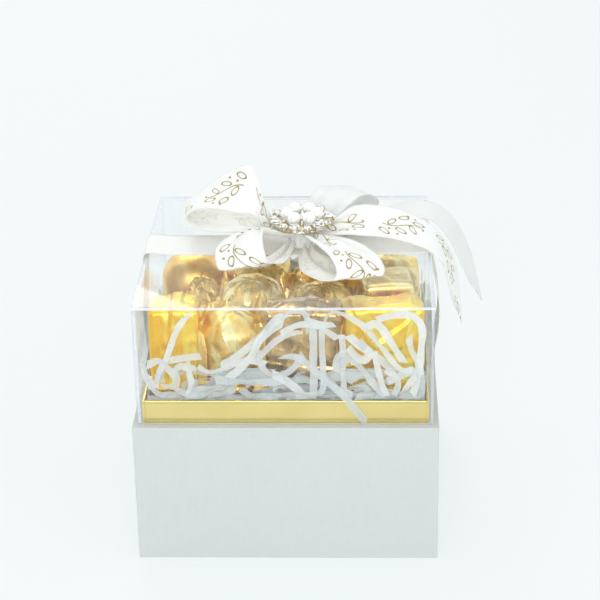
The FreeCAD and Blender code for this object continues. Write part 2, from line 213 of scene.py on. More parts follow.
def joined(forms: Sequence[Form]) -> Form:
    """Several forms as one, each still closed by itself.

    Args:
        forms: Forms with the same kinds of values.
    Returns:
        The one form.
    """
    starts = np.cumsum([0] + [len(form.points) for form in forms])
    faces = [[k + start for k in face] for form, start in zip(forms, starts) for face in form.faces]
    values = {name: np.concatenate([form.values[name] for form in forms]) for name in (forms[0].values or {})}
    face_values = {name: np.concatenate([form.face_values[name] for form in forms])
                   for name in (forms[0].face_values or {})}
    uv = None if forms[0].uv is None else np.vstack([form.uv for form in forms])
    return Form(np.vstack([form.points for form in forms]), faces, uv, values, face_values)


def place_piece(name: str, form: Form, material: bpy.types.Material, body: str,
                stands_for: Sequence[str] = (), smooth: bool = True) -> bpy.types.Object:
    """Puts a form into the scene as a finished piece.

    Args:
        name: The piece's name.
        form: Its surface, in millimetres.
        material: Its finish.
        body: The body that it rides on.
        stands_for: The frame's nodes that it replaces.
        smooth: Whether its faces shade smoothly.
    Returns:
        The new object.
    """
    mesh = bpy.data.meshes.new(name)
    mesh.from_pydata((form.points * MM).tolist(), [], form.faces)
    mesh.polygons.foreach_set("use_smooth", np.full(len(mesh.polygons), smooth))
    if form.uv is not None:
        corner = np.empty(len(mesh.loops), dtype=np.int32)
        mesh.loops.foreach_get("vertex_index", corner)
        layer = mesh.uv_layers.new(name="flat")
        layer.data.foreach_set("uv", form.uv[corner].astype(np.float32).ravel())
    for domain, table in (("POINT", form.values), ("FACE", form.face_values)):
        for key, value in (table or {}).items():
            attribute = mesh.attributes.new(key, "FLOAT", domain)
            attribute.data.foreach_set("value", value.astype(np.float32))
    mesh.validate()
    mesh.update()
    piece = bpy.data.objects.new(name, mesh)
    bpy.context.scene.collection.objects.link(piece)
    mesh.materials.append(material)
    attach(piece, body)
    if stands_for:
        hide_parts(*stands_for)
    LOG.info("%s: %d faces on %s", name, len(form.faces), body)
    return piece


class Recipe:
    """Builds the node tree of one material, or of the world."""

    def __init__(self, name: str, world: bool = False) -> None:
        """Starts an empty node tree.

        Args:
            name: The name of the material or world.
            world: Whether it is a world.
        """
        self.owner = bpy.data.worlds.new(name) if world else bpy.data.materials.new(name)
        self.owner.use_nodes = True
        self.tree = self.owner.node_tree
        self.tree.nodes.clear()
        self.output = self.tree.nodes.new("ShaderNodeOutputWorld" if world else "ShaderNodeOutputMaterial")

    def feed(self, socket: Socket, value: Feed) -> None:
        """Links a socket to another, or sets its value.

        Args:
            socket: Where it goes in.
            value: A socket to link, or a value to set.
        """
        if isinstance(value, Socket):
            self.tree.links.new(value, socket)
        else:
            socket.default_value = value

    def add(self, kind: str, inputs: Optional[dict[str, Feed]] = None, **settings: object) -> bpy.types.Node:
        """A new shader node.

        Args:
            kind: Its type, without the leading ShaderNode.
            inputs: What goes into its sockets, by name.
            settings: Its own properties.
        Returns:
            The node.
        """
        node = self.tree.nodes.new("ShaderNode" + kind)
        for key, value in settings.items():
            setattr(node, key, value)
        for key, value in (inputs or {}).items():
            self.feed(node.inputs[key], value)
        return node

    def math(self, operation: str, *values: Feed) -> Socket:
        """The result of a Math node.

        Args:
            operation: The node's operation.
            values: What goes into its sockets.
        Returns:
            The socket of the result.
        """
        node = self.add("Math", operation=operation)
        for socket, value in zip(node.inputs, values):
            self.feed(socket, value)
        return node.outputs[0]

    def product(self, *values: Feed) -> Socket:
        """The values multiplied together.

        Args:
            values: Two or more values.
        Returns:
            The socket of the result.
        """
        total = values[0]
        for value in values[1:]:
            total = self.math("MULTIPLY", total, value)
        return total

    def weighted(self, *terms: tuple[Feed, float]) -> Socket:
        """The sum of values, each times its own weight.

        Args:
            terms: Each value with its weight.
        Returns:
            The socket of the result.
        """
        scaled = [value if weight == 1 else self.product(value, weight) for value, weight in terms]
        total = scaled[0]
        for value in scaled[1:]:
            total = self.math("ADD", total, value)
        return total

    def mixed(self, factor: Feed, first: Feed, second: Feed) -> Socket:
        """A colour between two others.

        Args:
            factor: The share of the second.
            first: The colour at 0.
            second: The colour at 1.
        Returns:
            The socket of the result.
        """
        node = self.add("Mix", data_type="RGBA")
        for place, value in ((0, factor), (6, first), (7, second)):
            self.feed(node.inputs[place], value)
        return node.outputs[2]

    def between(self, value: Feed, low: float, high: float, to_low: float = 0.0,
                to_high: float = 1.0) -> Socket:
        """A value taken from one range to another, and kept inside it.

        Args:
            value: What is taken over.
            low: The first range's start.
            high: The first range's end.
            to_low: The second range's start.
            to_high: The second range's end.
        Returns:
            The socket of the result.
        """
        node = self.add("MapRange", {"Value": value, "From Min": low, "From Max": high,
                                     "To Min": to_low, "To Max": to_high})
        return node.outputs["Result"]

    def place(self) -> Socket:
        """The point on the object, in its own coordinates."""
        return self.add("TexCoord").outputs["Object"]

    def flat(self) -> Socket:
        """The point on the piece's own flat map."""
        return self.add("UVMap", uv_map="flat").outputs[0]

    def parts(self, vector: Feed) -> bpy.types.NodeOutputs:
        """A vector's X, Y and Z."""
        return self.add("SeparateXYZ", {"Vector": vector}).outputs

    def facing(self) -> bpy.types.NodeOutputs:
        """The X, Y and Z of the object's own normal."""
        return self.parts(self.add("TexCoord").outputs["Normal"])

    def value(self, name: str) -> Socket:
        """One of the piece's own values."""
        return self.add("Attribute", attribute_name=name).outputs["Fac"]

    def scaled(self, vector: Feed, scale: Sequence[float]) -> Socket:
        """A vector with each axis scaled by itself."""
        return self.add("Mapping", {"Vector": vector, "Scale": tuple(scale)}).outputs[0]

    def noise(self, vector: Feed, scale: float, detail: float = 2.0) -> Socket:
        """Soft noise from 0 to 1."""
        return self.add("TexNoise", {"Vector": vector, "Scale": scale, "Detail": detail}).outputs[0]

    def bump(self, height: Feed, distance: float, strength: float = 1.0) -> Socket:
        """A normal bent by a height, whose full step is a distance in metres."""
        return self.add("Bump", {"Height": height, "Distance": distance, "Strength": strength}).outputs[0]

    def principled(self, **inputs: Feed) -> Socket:
        """A Principled shader; underscores in the names stand for spaces."""
        named = {key.replace("_", " "): value for key, value in inputs.items()}
        return self.add("BsdfPrincipled", named).outputs[0]

    def blend(self, factor: Feed, first: Socket, second: Socket) -> Socket:
        """One shader laid over another.

        Args:
            factor: The share of the second.
            first: The shader at 0.
            second: The shader at 1.
        Returns:
            The socket of the result.
        """
        node = self.add("MixShader", {"Fac": factor})
        self.feed(node.inputs[1], first)
        self.feed(node.inputs[2], second)
        return node.outputs[0]

    def seen(self) -> Socket:
        """1 for rays from the camera, from gloss or through glass, which see the plain backdrop."""
        path = self.add("LightPath").outputs
        through = self.math("MAXIMUM", path["Is Glossy Ray"], path["Is Transmission Ray"])
        return self.math("MAXIMUM", path["Is Camera Ray"], through)

    def done(self, shader: Socket) -> Union[bpy.types.Material, bpy.types.World]:
        """The finished material or world."""
        self.feed(self.output.inputs["Surface"], shader)
        return self.owner


@dataclass(frozen=True)
class LinenPaper:
    """Covering paper pressed with a linen weave: fine slubbed threads both ways."""

    colour: Colour = (0.565, 0.596, 0.59, 1)
    shade: Colour = (0.542, 0.575, 0.569, 1)
    thread: float = 1700.0
    slub: float = 170.0
    cloud: float = 30.0
    cloud_share: float = 0.5
    tones: Pair = (0.95, 1.55)
    roughness: float = 0.72
    relief: Pair = (0.0001, 0.6)

    def make(self) -> bpy.types.Material:
        """The material, whose threads are noise drawn out level and upright."""
        r = Recipe("linen_paper")
        place = r.place()
        level = r.noise(r.scaled(place, (self.slub, self.slub, self.thread)), 1.0)
        upright = r.noise(r.scaled(place, (self.thread, self.thread, self.slub)), 1.0)
        weave = r.math("ADD", level, upright)
        tone = r.weighted((weave, 1), (r.noise(place, self.cloud, 3.0), self.cloud_share))
        colour = r.mixed(r.between(tone, *self.tones), self.shade, self.colour)
        return r.done(r.principled(Base_Color=colour, Roughness=self.roughness,
                                   Normal=r.bump(weave, *self.relief)))


@dataclass(frozen=True)
class PlainBoard:
    """Board or paper with short fibres and a mottled tone."""

    name: str
    colour: Colour
    shade: Colour
    fibre: tuple[float, float, float] = (1500.0, 1500.0, 500.0)
    mottle: float = 90.0
    shares: Pair = (0.6, 0.4)
    roughness: float = 0.85
    relief: float = 0.00005

    def make(self) -> bpy.types.Material:
        """The material, mottled by two sizes of noise."""
        r = Recipe(self.name)
        place = r.place()
        fibre = r.noise(r.scaled(place, self.fibre), 1.0, 4.0)
        tone = r.weighted((fibre, self.shares[0]), (r.noise(place, self.mottle), self.shares[1]))
        colour = r.mixed(r.between(tone, *NOISE_SPAN), self.shade, self.colour)
        return r.done(r.principled(Base_Color=colour, Roughness=self.roughness,
                                   Normal=r.bump(fibre, self.relief)))


@dataclass(frozen=True)
class NeckFoil:
    """Mirror foil pasted on board: pale gold, with slow waves, small pits, painted shade along a fold, and
    butt joints.

    The fold lies a little under the top edge, and the joints at the panels' ends; metres.
    """

    colour: Colour = (0.905, 0.737, 0.272, 1)
    shade: Colour = (0.865, 0.69, 0.232, 1)
    # Painted shade along the fold, and the colour of the dark butt joints
    dark: Colour = (0.62, 0.46, 0.14, 1)
    fold: Pair = (0.0849, 0.00022)
    joint: Pair = (0.0687, 0.00018)
    fold_shade_and_joint_share: float = 0.6
    wave: float = 45.0
    wave_span: Pair = (0.35, 0.65)
    pits: float = 900.0
    pit_share: float = 0.04
    roughness: Pair = (0.14, 0.24)
    relief: Pair = (0.0004, 0.6)

    def make(self) -> bpy.types.Material:
        """The material: metal with a cloudy gloss."""
        r = Recipe("neck_foil")
        place = r.place()
        wave = r.noise(place, self.wave, 1.0)
        pits = r.noise(place, self.pits)
        at = r.parts(place)
        ahead = r.math("GREATER_THAN", r.math("ABSOLUTE", r.facing()[1]), 0.5)
        joint = r.product(r.math("COMPARE", r.math("ABSOLUTE", at[0]), *self.joint), ahead)
        # The fold's dark line is painted shade; the joints' lines are dark joints
        line = r.math("MAXIMUM", r.math("COMPARE", at[2], *self.fold), joint)
        gold = r.mixed(r.between(wave, *self.wave_span), self.shade, self.colour)
        height = r.weighted((wave, 1), (pits, self.pit_share))
        return r.done(r.principled(
            Base_Color=r.mixed(r.product(line, self.fold_shade_and_joint_share), gold, self.dark), Metallic=1.0,
            Roughness=r.between(pits, *NOISE_SPAN, *self.roughness), Normal=r.bump(height, *self.relief)))


@dataclass(frozen=True)
class ClearSheet:
    """Clear acrylic sheet: see-through faces with a mirror gloss, and cut edges painted with the glow of the
    light that they gather.
    """

    name: str
    thin_axis: int
    tint: Colour = (0.985, 0.99, 0.995, 1)
    # Painted light: the lavender glow of light gathered in the cut edges, varied by saw marks
    edge_glow_colours: tuple[Colour, Colour] = ((0.70, 0.755, 0.90, 1), (0.86, 0.89, 0.96, 1))
    # Painted light: a white glow on the feet, the lower cut edges
    foot_glow_colour: Colour = (0.95, 0.96, 0.965, 1)
    face_gloss: float = 0.042
    most_gloss: float = 0.55
    face_roughness: float = 0.02
    edge_roughness: float = 0.25
    foot_roughness: float = 0.4
    foot_turn: float = -0.9
    saw: float = 260.0
    edge_share: float = 0.66
    foot_share: float = 0.88
    face_turn: Pair = (0.35, 0.65)

    def make(self) -> bpy.types.Material:
        """The material: gloss by Schlick's rule, the facing share to the fifth power, on clear faces."""
        r = Recipe(self.name)
        grazing = r.math("POWER", r.add("LayerWeight", {"Blend": 0.5}).outputs["Facing"], 5.0)
        gloss = r.math("MULTIPLY_ADD", grazing, self.most_gloss - self.face_gloss, self.face_gloss)
        clear = r.add("BsdfTransparent", {"Color": self.tint}).outputs[0]
        shine = r.add("BsdfGlossy", {"Color": (1, 1, 1, 1), "Roughness": self.face_roughness}).outputs[0]
        face = r.blend(gloss, clear, shine)
        normal = r.facing()
        across = r.math("ABSOLUTE", normal[self.thin_axis])
        saw = r.noise(r.scaled(r.place(), [self.saw] * 3), 1.0)
        # Painted glow of the cut edges
        edge = r.mixed(r.between(saw, *NOISE_SPAN), *self.edge_glow_colours)
        cut = r.principled(Base_Color=edge, Roughness=self.edge_roughness)
        edge = r.blend(self.edge_share, clear, cut)
        if self.thin_axis != 2:
            # Painted white glow of the feet
            pale = r.principled(Base_Color=self.foot_glow_colour, Roughness=self.foot_roughness)
            foot = r.blend(self.foot_share, clear, pale)
            edge = r.blend(r.math("LESS_THAN", normal[2], self.foot_turn), edge, foot)
        return r.done(r.blend(r.between(across, *self.face_turn), edge, face))


class FoilTone(Enum):
    """The wrappers' five golds: lit colour, shaded colour for painted shade, how finely they are crinkled,
    and roughness.
    """

    LEMON = ((1.0, 0.785, 0.12, 1), (0.95, 0.53, 0.03, 1), 0.24, (0.25, 0.38))
    AMBER = ((0.97, 0.68, 0.22, 1), (0.84, 0.46, 0.08, 1), 0.12, (0.30, 0.44))
    PALE = ((0.93, 0.80, 0.41, 1), (0.82, 0.52, 0.11, 1), 0.62, (0.24, 0.38))
    STRAW = ((0.91, 0.68, 0.23, 1), (0.62, 0.37, 0.07, 1), 0.45, (0.24, 0.38))
    # Partly the foil's own brown gold, partly painted shade from the bow above it
    BRONZE = ((0.76, 0.53, 0.24, 1), (0.36, 0.23, 0.10, 1), 0.50, (0.16, 0.30))


@dataclass(frozen=True)
class WrapperFoil:
    """Thin foil pressed over a chocolate by hand."""

    tone: FoilTone
    ridge: float = 190.0
    ridge_stretch: tuple[float, float, float] = (1.0, 0.8, 0.45)
    ridge_span: Pair = (0.2, 1.6)
    wrinkle: tuple[float, float, float] = (900.0, 500.0, 160.0)
    wrinkle_share: float = 0.35
    cloud: float = 70.0
    cloud_share: float = 0.3
    # Share of the value "warm", which holds painted shade by facet tilt
    warm_share: float = 0.9
    warm_span: Pair = (0.15, 1.05)
    relief: Pair = (0.0005, 0.8)

    def make(self) -> bpy.types.Material:
        """The material: satin metal with ridged creases and fine wrinkles, with painted shade where a fold
        turns away.
        """
        lit, deep, crinkle, rough = self.tone.value
        r = Recipe("wrapper_foil_" + self.tone.name.lower())
        place = r.place()
        drawn = r.scaled(place, self.ridge_stretch)
        ridge = r.add("TexNoise", {"Vector": drawn, "Scale": self.ridge, "Detail": 3.0},
                      noise_type="RIDGED_MULTIFRACTAL").outputs[0]
        crease = r.between(ridge, *self.ridge_span)
        wrinkle = r.noise(r.scaled(place, self.wrinkle), 1.0, 3.0)
        # Painted shade from the value "warm", over random clouds of tone
        tone = r.weighted((r.noise(place, self.cloud), self.cloud_share), (r.value("warm"), self.warm_share))
        height = r.weighted((crease, crinkle), (wrinkle, self.wrinkle_share * crinkle))
        return r.done(r.principled(
            Base_Color=r.mixed(r.between(tone, *self.warm_span), lit, deep), Metallic=1.0,
            Roughness=r.between(wrinkle, *NOISE_SPAN, *rough), Normal=r.bump(height, *self.relief)))


@dataclass(frozen=True)
class ChocolateMass:
    """Chocolate under the foil, with a faint bloom."""

    browns: tuple[Colour, Colour] = ((0.07, 0.028, 0.012, 1), (0.13, 0.06, 0.03, 1))
    cloud: float = 120.0
    roughness: float = 0.42
    relief: float = 0.0003

    def make(self) -> bpy.types.Material:
        """The material: two browns in slow clouds."""
        r = Recipe("chocolate_mass")
        cloud = r.noise(r.place(), self.cloud, 4.0)
        return r.done(r.principled(Base_Color=r.mixed(cloud, *self.browns), Roughness=self.roughness,
                                   Normal=r.bump(cloud, self.relief)))


@dataclass(frozen=True)
class ShredPaper:
    """Thin white paper cut in strips, which lets some light through, or a mass of it, which doesn't."""

    name: str
    thin: Pair
    # Lit and shaded copies of the paper's white: painted light and shade, mixed by cloud noise and the value
    # "tone"
    lit: Colour = (0.91, 0.93, 0.925, 1)
    shade: Colour = (0.75, 0.80, 0.815, 1)
    fibre: float = 1300.0
    relief: float = 0.00004
    cloud: float = 60.0
    cloud_share: float = 0.4
    own_share: float = 0.8
    tones: Pair = (0.2, 0.9)
    through: float = 0.35
    roughness: float = 0.45

    def make(self) -> bpy.types.Material:
        """The material: glassine paper, part matt and part see-through, painted in shade and thinner where
        its value is low.
        """
        r = Recipe(self.name)
        place = r.place()
        fibre = r.noise(place, self.fibre, 3.0)
        tone = r.weighted((r.noise(place, self.cloud), self.cloud_share), (r.value("tone"), self.own_share))
        colour = r.mixed(r.between(tone, *self.tones), self.shade, self.lit)
        paper = r.principled(Base_Color=colour, Roughness=self.roughness, Normal=r.bump(fibre, self.relief))
        lit_through = r.add("BsdfTranslucent", {"Color": colour}).outputs[0]
        sheet = r.blend(self.through, paper, lit_through)
        clear = r.between(tone, *self.tones, *self.thin)
        return r.done(r.blend(clear, sheet, r.add("BsdfTransparent").outputs[0]))


@dataclass(frozen=True)
class Leaf:
    """One outlined leaf of the printed sprig, in ribbon widths and degrees."""

    along: float
    across: float
    turn: float
    length: float = 0.135
    width: float = 0.062


@dataclass(frozen=True)
class RibbonCloth:
    """White ribbed ribbon with a small gold sprig that repeats along it; lengths in ribbon widths."""

    name: str
    printed: bool
    ivory: Colour = (0.966, 0.978, 0.977, 1)
    white: Colour = (0.978, 0.988, 0.988, 1)
    # Painted light: the under side is a little creamier, standing in for light through the cloth and shade
    # inside the loops
    cream: Colour = (0.985, 0.986, 0.966, 1)
    gold: Colour = (0.40, 0.325, 0.085, 1)
    ghost: Colour = (0.66, 0.655, 0.60, 1)
    rib: float = 0.034
    repeat: float = 1.25
    sway: float = 0.11
    line: float = 0.017
    berry: float = 0.026
    stem_span: Pair = (0.60, 0.44)
    leaf_edge: float = 0.86
    yarn: tuple[float, float, float] = (12.0, 160.0, 1.0)
    selvedge: Pair = (0.455, 0.475)
    ghost_share: float = 0.45
    roughness: Pair = (0.46, 0.30)
    sheen: float = 0.25
    relief: Pair = (0.00007, 0.8)
    through: float = 0.30

    LEAVES = (Leaf(0.20, 0.30, 38), Leaf(0.36, -0.02, -52), Leaf(0.55, 0.20, 24), Leaf(0.62, -0.25, -34),
              Leaf(0.80, 0.06, 58), Leaf(0.93, -0.21, -12))
    BERRIES = ((0.30, 0.21), (0.47, 0.33), (0.71, -0.36), (0.86, -0.33), (1.02, -0.06))

    def sprig(self, r: Recipe, across: Feed, along: Feed) -> Socket:
        """Where the gold lies.

        A swaying stem, leaves that are ellipses drawn as lines, and round berries, in one repeat
        that is turned over in every second one.

        Args:
            r: The recipe that it is built in.
            across: Place across the ribbon, from -0.5 to 0.5.
            along: Place along it.
        Returns:
            1 on the gold and 0 off it.
        """
        cell = r.math("DIVIDE", along, self.repeat)
        local = r.product(r.math("FRACT", cell), self.repeat)
        odd = r.math("MODULO", r.math("FLOOR", cell), 2.0)
        side = r.product(across, r.math("SUBTRACT", 1.0, r.product(odd, 2.0)))
        point = r.add("CombineXYZ", {"X": local, "Y": side}).outputs[0]
        wave = r.product(r.math("SINE", r.product(local, 2 * math.pi / self.repeat)), self.sway)
        stem = r.math("COMPARE", side, wave, self.line * 0.7)
        mask = r.product(stem, r.math("COMPARE", local, *self.stem_span))
        for leaf in self.LEAVES:
            own = r.add("Mapping", {"Vector": point, "Location": (leaf.along, leaf.across, 0),
                                    "Rotation": (0, 0, math.radians(leaf.turn)),
                                    "Scale": (leaf.length, leaf.width, 1)}, vector_type="TEXTURE").outputs[0]
            ring = r.add("VectorMath", {0: own}, operation="LENGTH").outputs["Value"]
            edge = r.math("COMPARE", ring, self.leaf_edge, self.line / leaf.width * 0.55)
            mask = r.math("MAXIMUM", mask, edge)
        for x, y in self.BERRIES:
            gap = r.add("VectorMath", {0: point, 1: (x, y, 0)}, operation="DISTANCE").outputs["Value"]
            mask = r.math("MAXIMUM", mask, r.math("LESS_THAN", gap, self.berry))
        return mask

    def make(self) -> bpy.types.Material:
        """The material: ribs across the ribbon, thin enough to let light and the print show through."""
        r = Recipe(self.name)
        width, along, _ = r.parts(r.flat())
        across = r.math("SUBTRACT", width, 0.5)
        ribs = r.math("SINE", r.product(along, 2 * math.pi / self.rib))
        yarn = r.noise(r.scaled(r.flat(), self.yarn), 1.0)
        selvedge = r.between(r.math("ABSOLUTE", across), *self.selvedge)
        colour = r.mixed(r.between(yarn, *NOISE_SPAN), self.ivory, self.white)
        gloss: Feed = self.roughness[0]
        if self.printed:
            mask = self.sprig(r, across, along)
            upper = r.value("upper")
            # Painted light: the under side takes the creamier colour
            colour = r.mixed(upper, self.cream, colour)
            front = r.product(mask, r.math("GREATER_THAN", upper, 0.5))
            back = r.product(mask, r.math("LESS_THAN", upper, 0.5), self.ghost_share)
            colour = r.mixed(front, r.mixed(back, colour, self.ghost), self.gold)
            gloss = r.between(front, 0.0, 1.0, *self.roughness)
        height = r.weighted((ribs, 0.5), (yarn, 1), (selvedge, 1))
        cloth = r.principled(Base_Color=colour, Roughness=gloss, Sheen_Weight=self.sheen,
                             Normal=r.bump(height, *self.relief))
        lit_through = r.add("BsdfTranslucent", {"Color": colour}).outputs[0]
        return r.done(r.blend(self.through, cloth, lit_through))


@dataclass(frozen=True)
class BroochMetal:
    """Plated setting: pale metal mottled by noise with a browned colour."""

    bright: Colour = (0.94, 0.93, 0.89, 1)
    browned: Colour = (0.62, 0.49, 0.22, 1)
    cloud: float = 420.0
    brown_span: Pair = (0.42, 0.66)
    roughness: Pair = (0.14, 0.32)
    relief: float = 0.00008

    def make(self) -> bpy.types.Material:
        """The material: pale metal mottled by noise with brown."""
        r = Recipe("brooch_metal")
        cloud = r.noise(r.place(), self.cloud, 3.0)
        colour = r.mixed(r.between(cloud, *self.brown_span), self.bright, self.browned)
        return r.done(r.principled(
            Base_Color=colour, Metallic=1.0, Roughness=r.between(cloud, *NOISE_SPAN, *self.roughness),
            Normal=r.bump(cloud, self.relief)))


@dataclass(frozen=True)
class CutStone:
    """Foil-backed glass stone, whose facets are painted light or dark by turns, as painted reflections."""

    dark: Colour = (0.16, 0.17, 0.17, 1)
    light: Colour = (0.97, 0.98, 0.99, 1)
    metal: Pair = (0.9, 0.7)
    roughness: float = 0.06
    coat_roughness: float = 0.02

    def make(self) -> bpy.types.Material:
        """The material: mirror facets, each painted light or dark by its own value, as a painted reflection.
        """
        r = Recipe("cut_stone")
        # Painted reflection: each facet light or dark by its own random value
        facet = r.value("facet")
        colour = r.mixed(r.between(facet, 0.0, 1.0), self.dark, self.light)
        return r.done(r.principled(
            Base_Color=colour, Metallic=r.between(facet, 0.0, 1.0, *self.metal), Roughness=self.roughness,
            Coat_Weight=1.0, Coat_Roughness=self.coat_roughness))


@dataclass(frozen=True)
class PearlCoat:
    """Glass pearl: a clear gloss over a milky white with a faint warm and cool play."""

    warm: Colour = (0.90, 0.885, 0.85, 1)
    cool: Colour = (0.90, 0.91, 0.905, 1)
    play: float = 160.0
    play_span: Pair = (0.35, 0.65)
    metal: float = 0.45
    roughness: float = 0.16
    gloss_index: float = 1.75
    coat_roughness: float = 0.03
    grain: float = 900.0
    relief: float = 0.00002

    def make(self) -> bpy.types.Material:
        """The material: milky body under a coat."""
        r = Recipe("pearl_coat")
        play = r.between(r.noise(r.place(), self.play, 1.0), *self.play_span)
        return r.done(r.principled(
            Base_Color=r.mixed(play, self.warm, self.cool), Metallic=self.metal, Roughness=self.roughness,
            IOR=self.gloss_index, Coat_Weight=1.0, Coat_Roughness=self.coat_roughness,
            Normal=r.bump(r.noise(r.place(), self.grain), self.relief)))


class Finishes:
    """Every material, made once."""

    def __init__(self) -> None:
        """Makes the materials."""
        self.linen = LinenPaper().make()
        self.board = PlainBoard("grey_board", (0.44, 0.43, 0.40, 1), (0.36, 0.35, 0.33, 1)).make()
        self.lining = PlainBoard("lining_paper", (0.84, 0.84, 0.82, 1), (0.78, 0.78, 0.76, 1)).make()
        self.tape = PlainBoard("stay_tape", (0.72, 0.64, 0.48, 1), (0.64, 0.55, 0.40, 1)).make()
        self.neck = NeckFoil().make()
        self.sheets = [ClearSheet("clear_sheet_" + "xyz"[axis], axis).make() for axis in range(3)]
        self.foils = {tone: WrapperFoil(tone).make() for tone in FoilTone}
        self.chocolate = ChocolateMass().make()
        self.shred = ShredPaper("shred_strips", (0.58, 0.26)).make()
        self.packed = ShredPaper("shred_mass", (0.0, 0.0)).make()
        self.printed = RibbonCloth("ribbon_printed", True).make()
        self.plain = RibbonCloth("ribbon_plain", False).make()
        # A greyer copy of the plain ribbon: painted shade on the rear loop and the rear tail
        self.reverse = RibbonCloth("ribbon_shaded_plain", False, ivory=(0.915, 0.93, 0.929, 1),
                                   white=(0.93, 0.942, 0.942, 1)).make()
        self.metal = BroochMetal().make()
        self.stone = CutStone().make()
        self.pearl = PearlCoat().make()


class FrameDress:
    """Finishes for the frame's own nodes, whose shapes are kept."""

    def __init__(self, finishes: Finishes) -> None:
        """Lists which finish goes on which nodes.

        Args:
            finishes: The materials.
        """
        self.plan: dict[str, bpy.types.Material] = {
            "base_wrap_paper": finishes.linen, "base_bottom_paper": finishes.linen,
            "base_floor_board": finishes.board, "floor_lining_paper": finishes.lining,
            "corner_stay_tapes": finishes.tape, "chocolate_cores": finishes.chocolate,
            "brooch_plate": finishes.metal, "brooch_shank": finishes.metal, "brooch_pegs": finishes.metal,
        }
        for side in ("front", "back", "left", "right"):
            self.plan["base_" + side + "_board"] = finishes.board
            self.plan["liner_" + side + "_board"] = finishes.board
            self.plan["neck_" + side + "_panel"] = finishes.neck

    def dress(self) -> None:
        """Puts the finishes into the nodes' material slots."""
        for name, material in self.plan.items():
            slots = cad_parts[name].data.materials
            slots.clear()
            slots.append(material)
            LOG.info("%s: %s", name, material.name)


@dataclass
class LidSheets:
    """The lid's five clear sheets, each a slab with eased edges; millimetres."""

    ease: float = 0.25
    foot_gap: float = 0.08

    THIN_AXES = {"front": 1, "back": 1, "left": 0, "right": 0, "top": 2}

    def slab(self, node: str, axis: int) -> Form:
        """A slab in a node's box: an oblong with its corners cut, drawn in at both faces.

        Args:
            node: The frame's node.
            axis: The axis that the slab is thin along.
        Returns:
            The closed slab, its foot just clear of what it stands on.
        """
        low, high = node_box(node)
        if axis != 2:
            low[2] += self.foot_gap
        flat = [k for k in range(3) if k != axis]
        half, middle = (high - low)[flat] / 2, (high + low)[flat] / 2
        inset = np.array([self.ease, 0.0, 0.0, self.ease])
        level = np.array([low[axis], low[axis] + self.ease, high[axis] - self.ease, high[axis]])
        signs = np.array([(1, 1), (1, 1), (-1, 1), (-1, 1), (-1, -1), (-1, -1), (1, -1), (1, -1)])
        cut = np.array([(0, 1), (1, 0), (1, 0), (0, 1), (0, 1), (1, 0), (1, 0), (0, 1)]) * self.ease
        rings = np.empty((4, 8, 3))
        rings[..., flat] = middle + signs * (half - cut - inset[:, None, None])
        rings[..., axis] = level[:, None]
        return capped_tube(rings)

    def build(self, finishes: Finishes) -> None:
        """Makes the five sheets.

        Args:
            finishes: The materials.
        """
        for side, axis in self.THIN_AXES.items():
            node = "lid_" + side + "_panel"
            place_piece("clear_" + side + "_sheet", self.slab(node, axis), finishes.sheets[axis], "lid",
                        [node], smooth=False)


@dataclass(frozen=True)
class BowStrip:
    """One loop or tail of the bow, by the frame's node that it stands for.

    The root is its direction at the knot in degrees and the heights of its ends as shares of the
    knot's. A station is X and Y as shares of the reach, Z as a share of the rise, and the width's
    yaw, pitch and share.
    """

    node: str
    printed: bool
    reach: float
    rise: float
    root: tuple
    stations: tuple


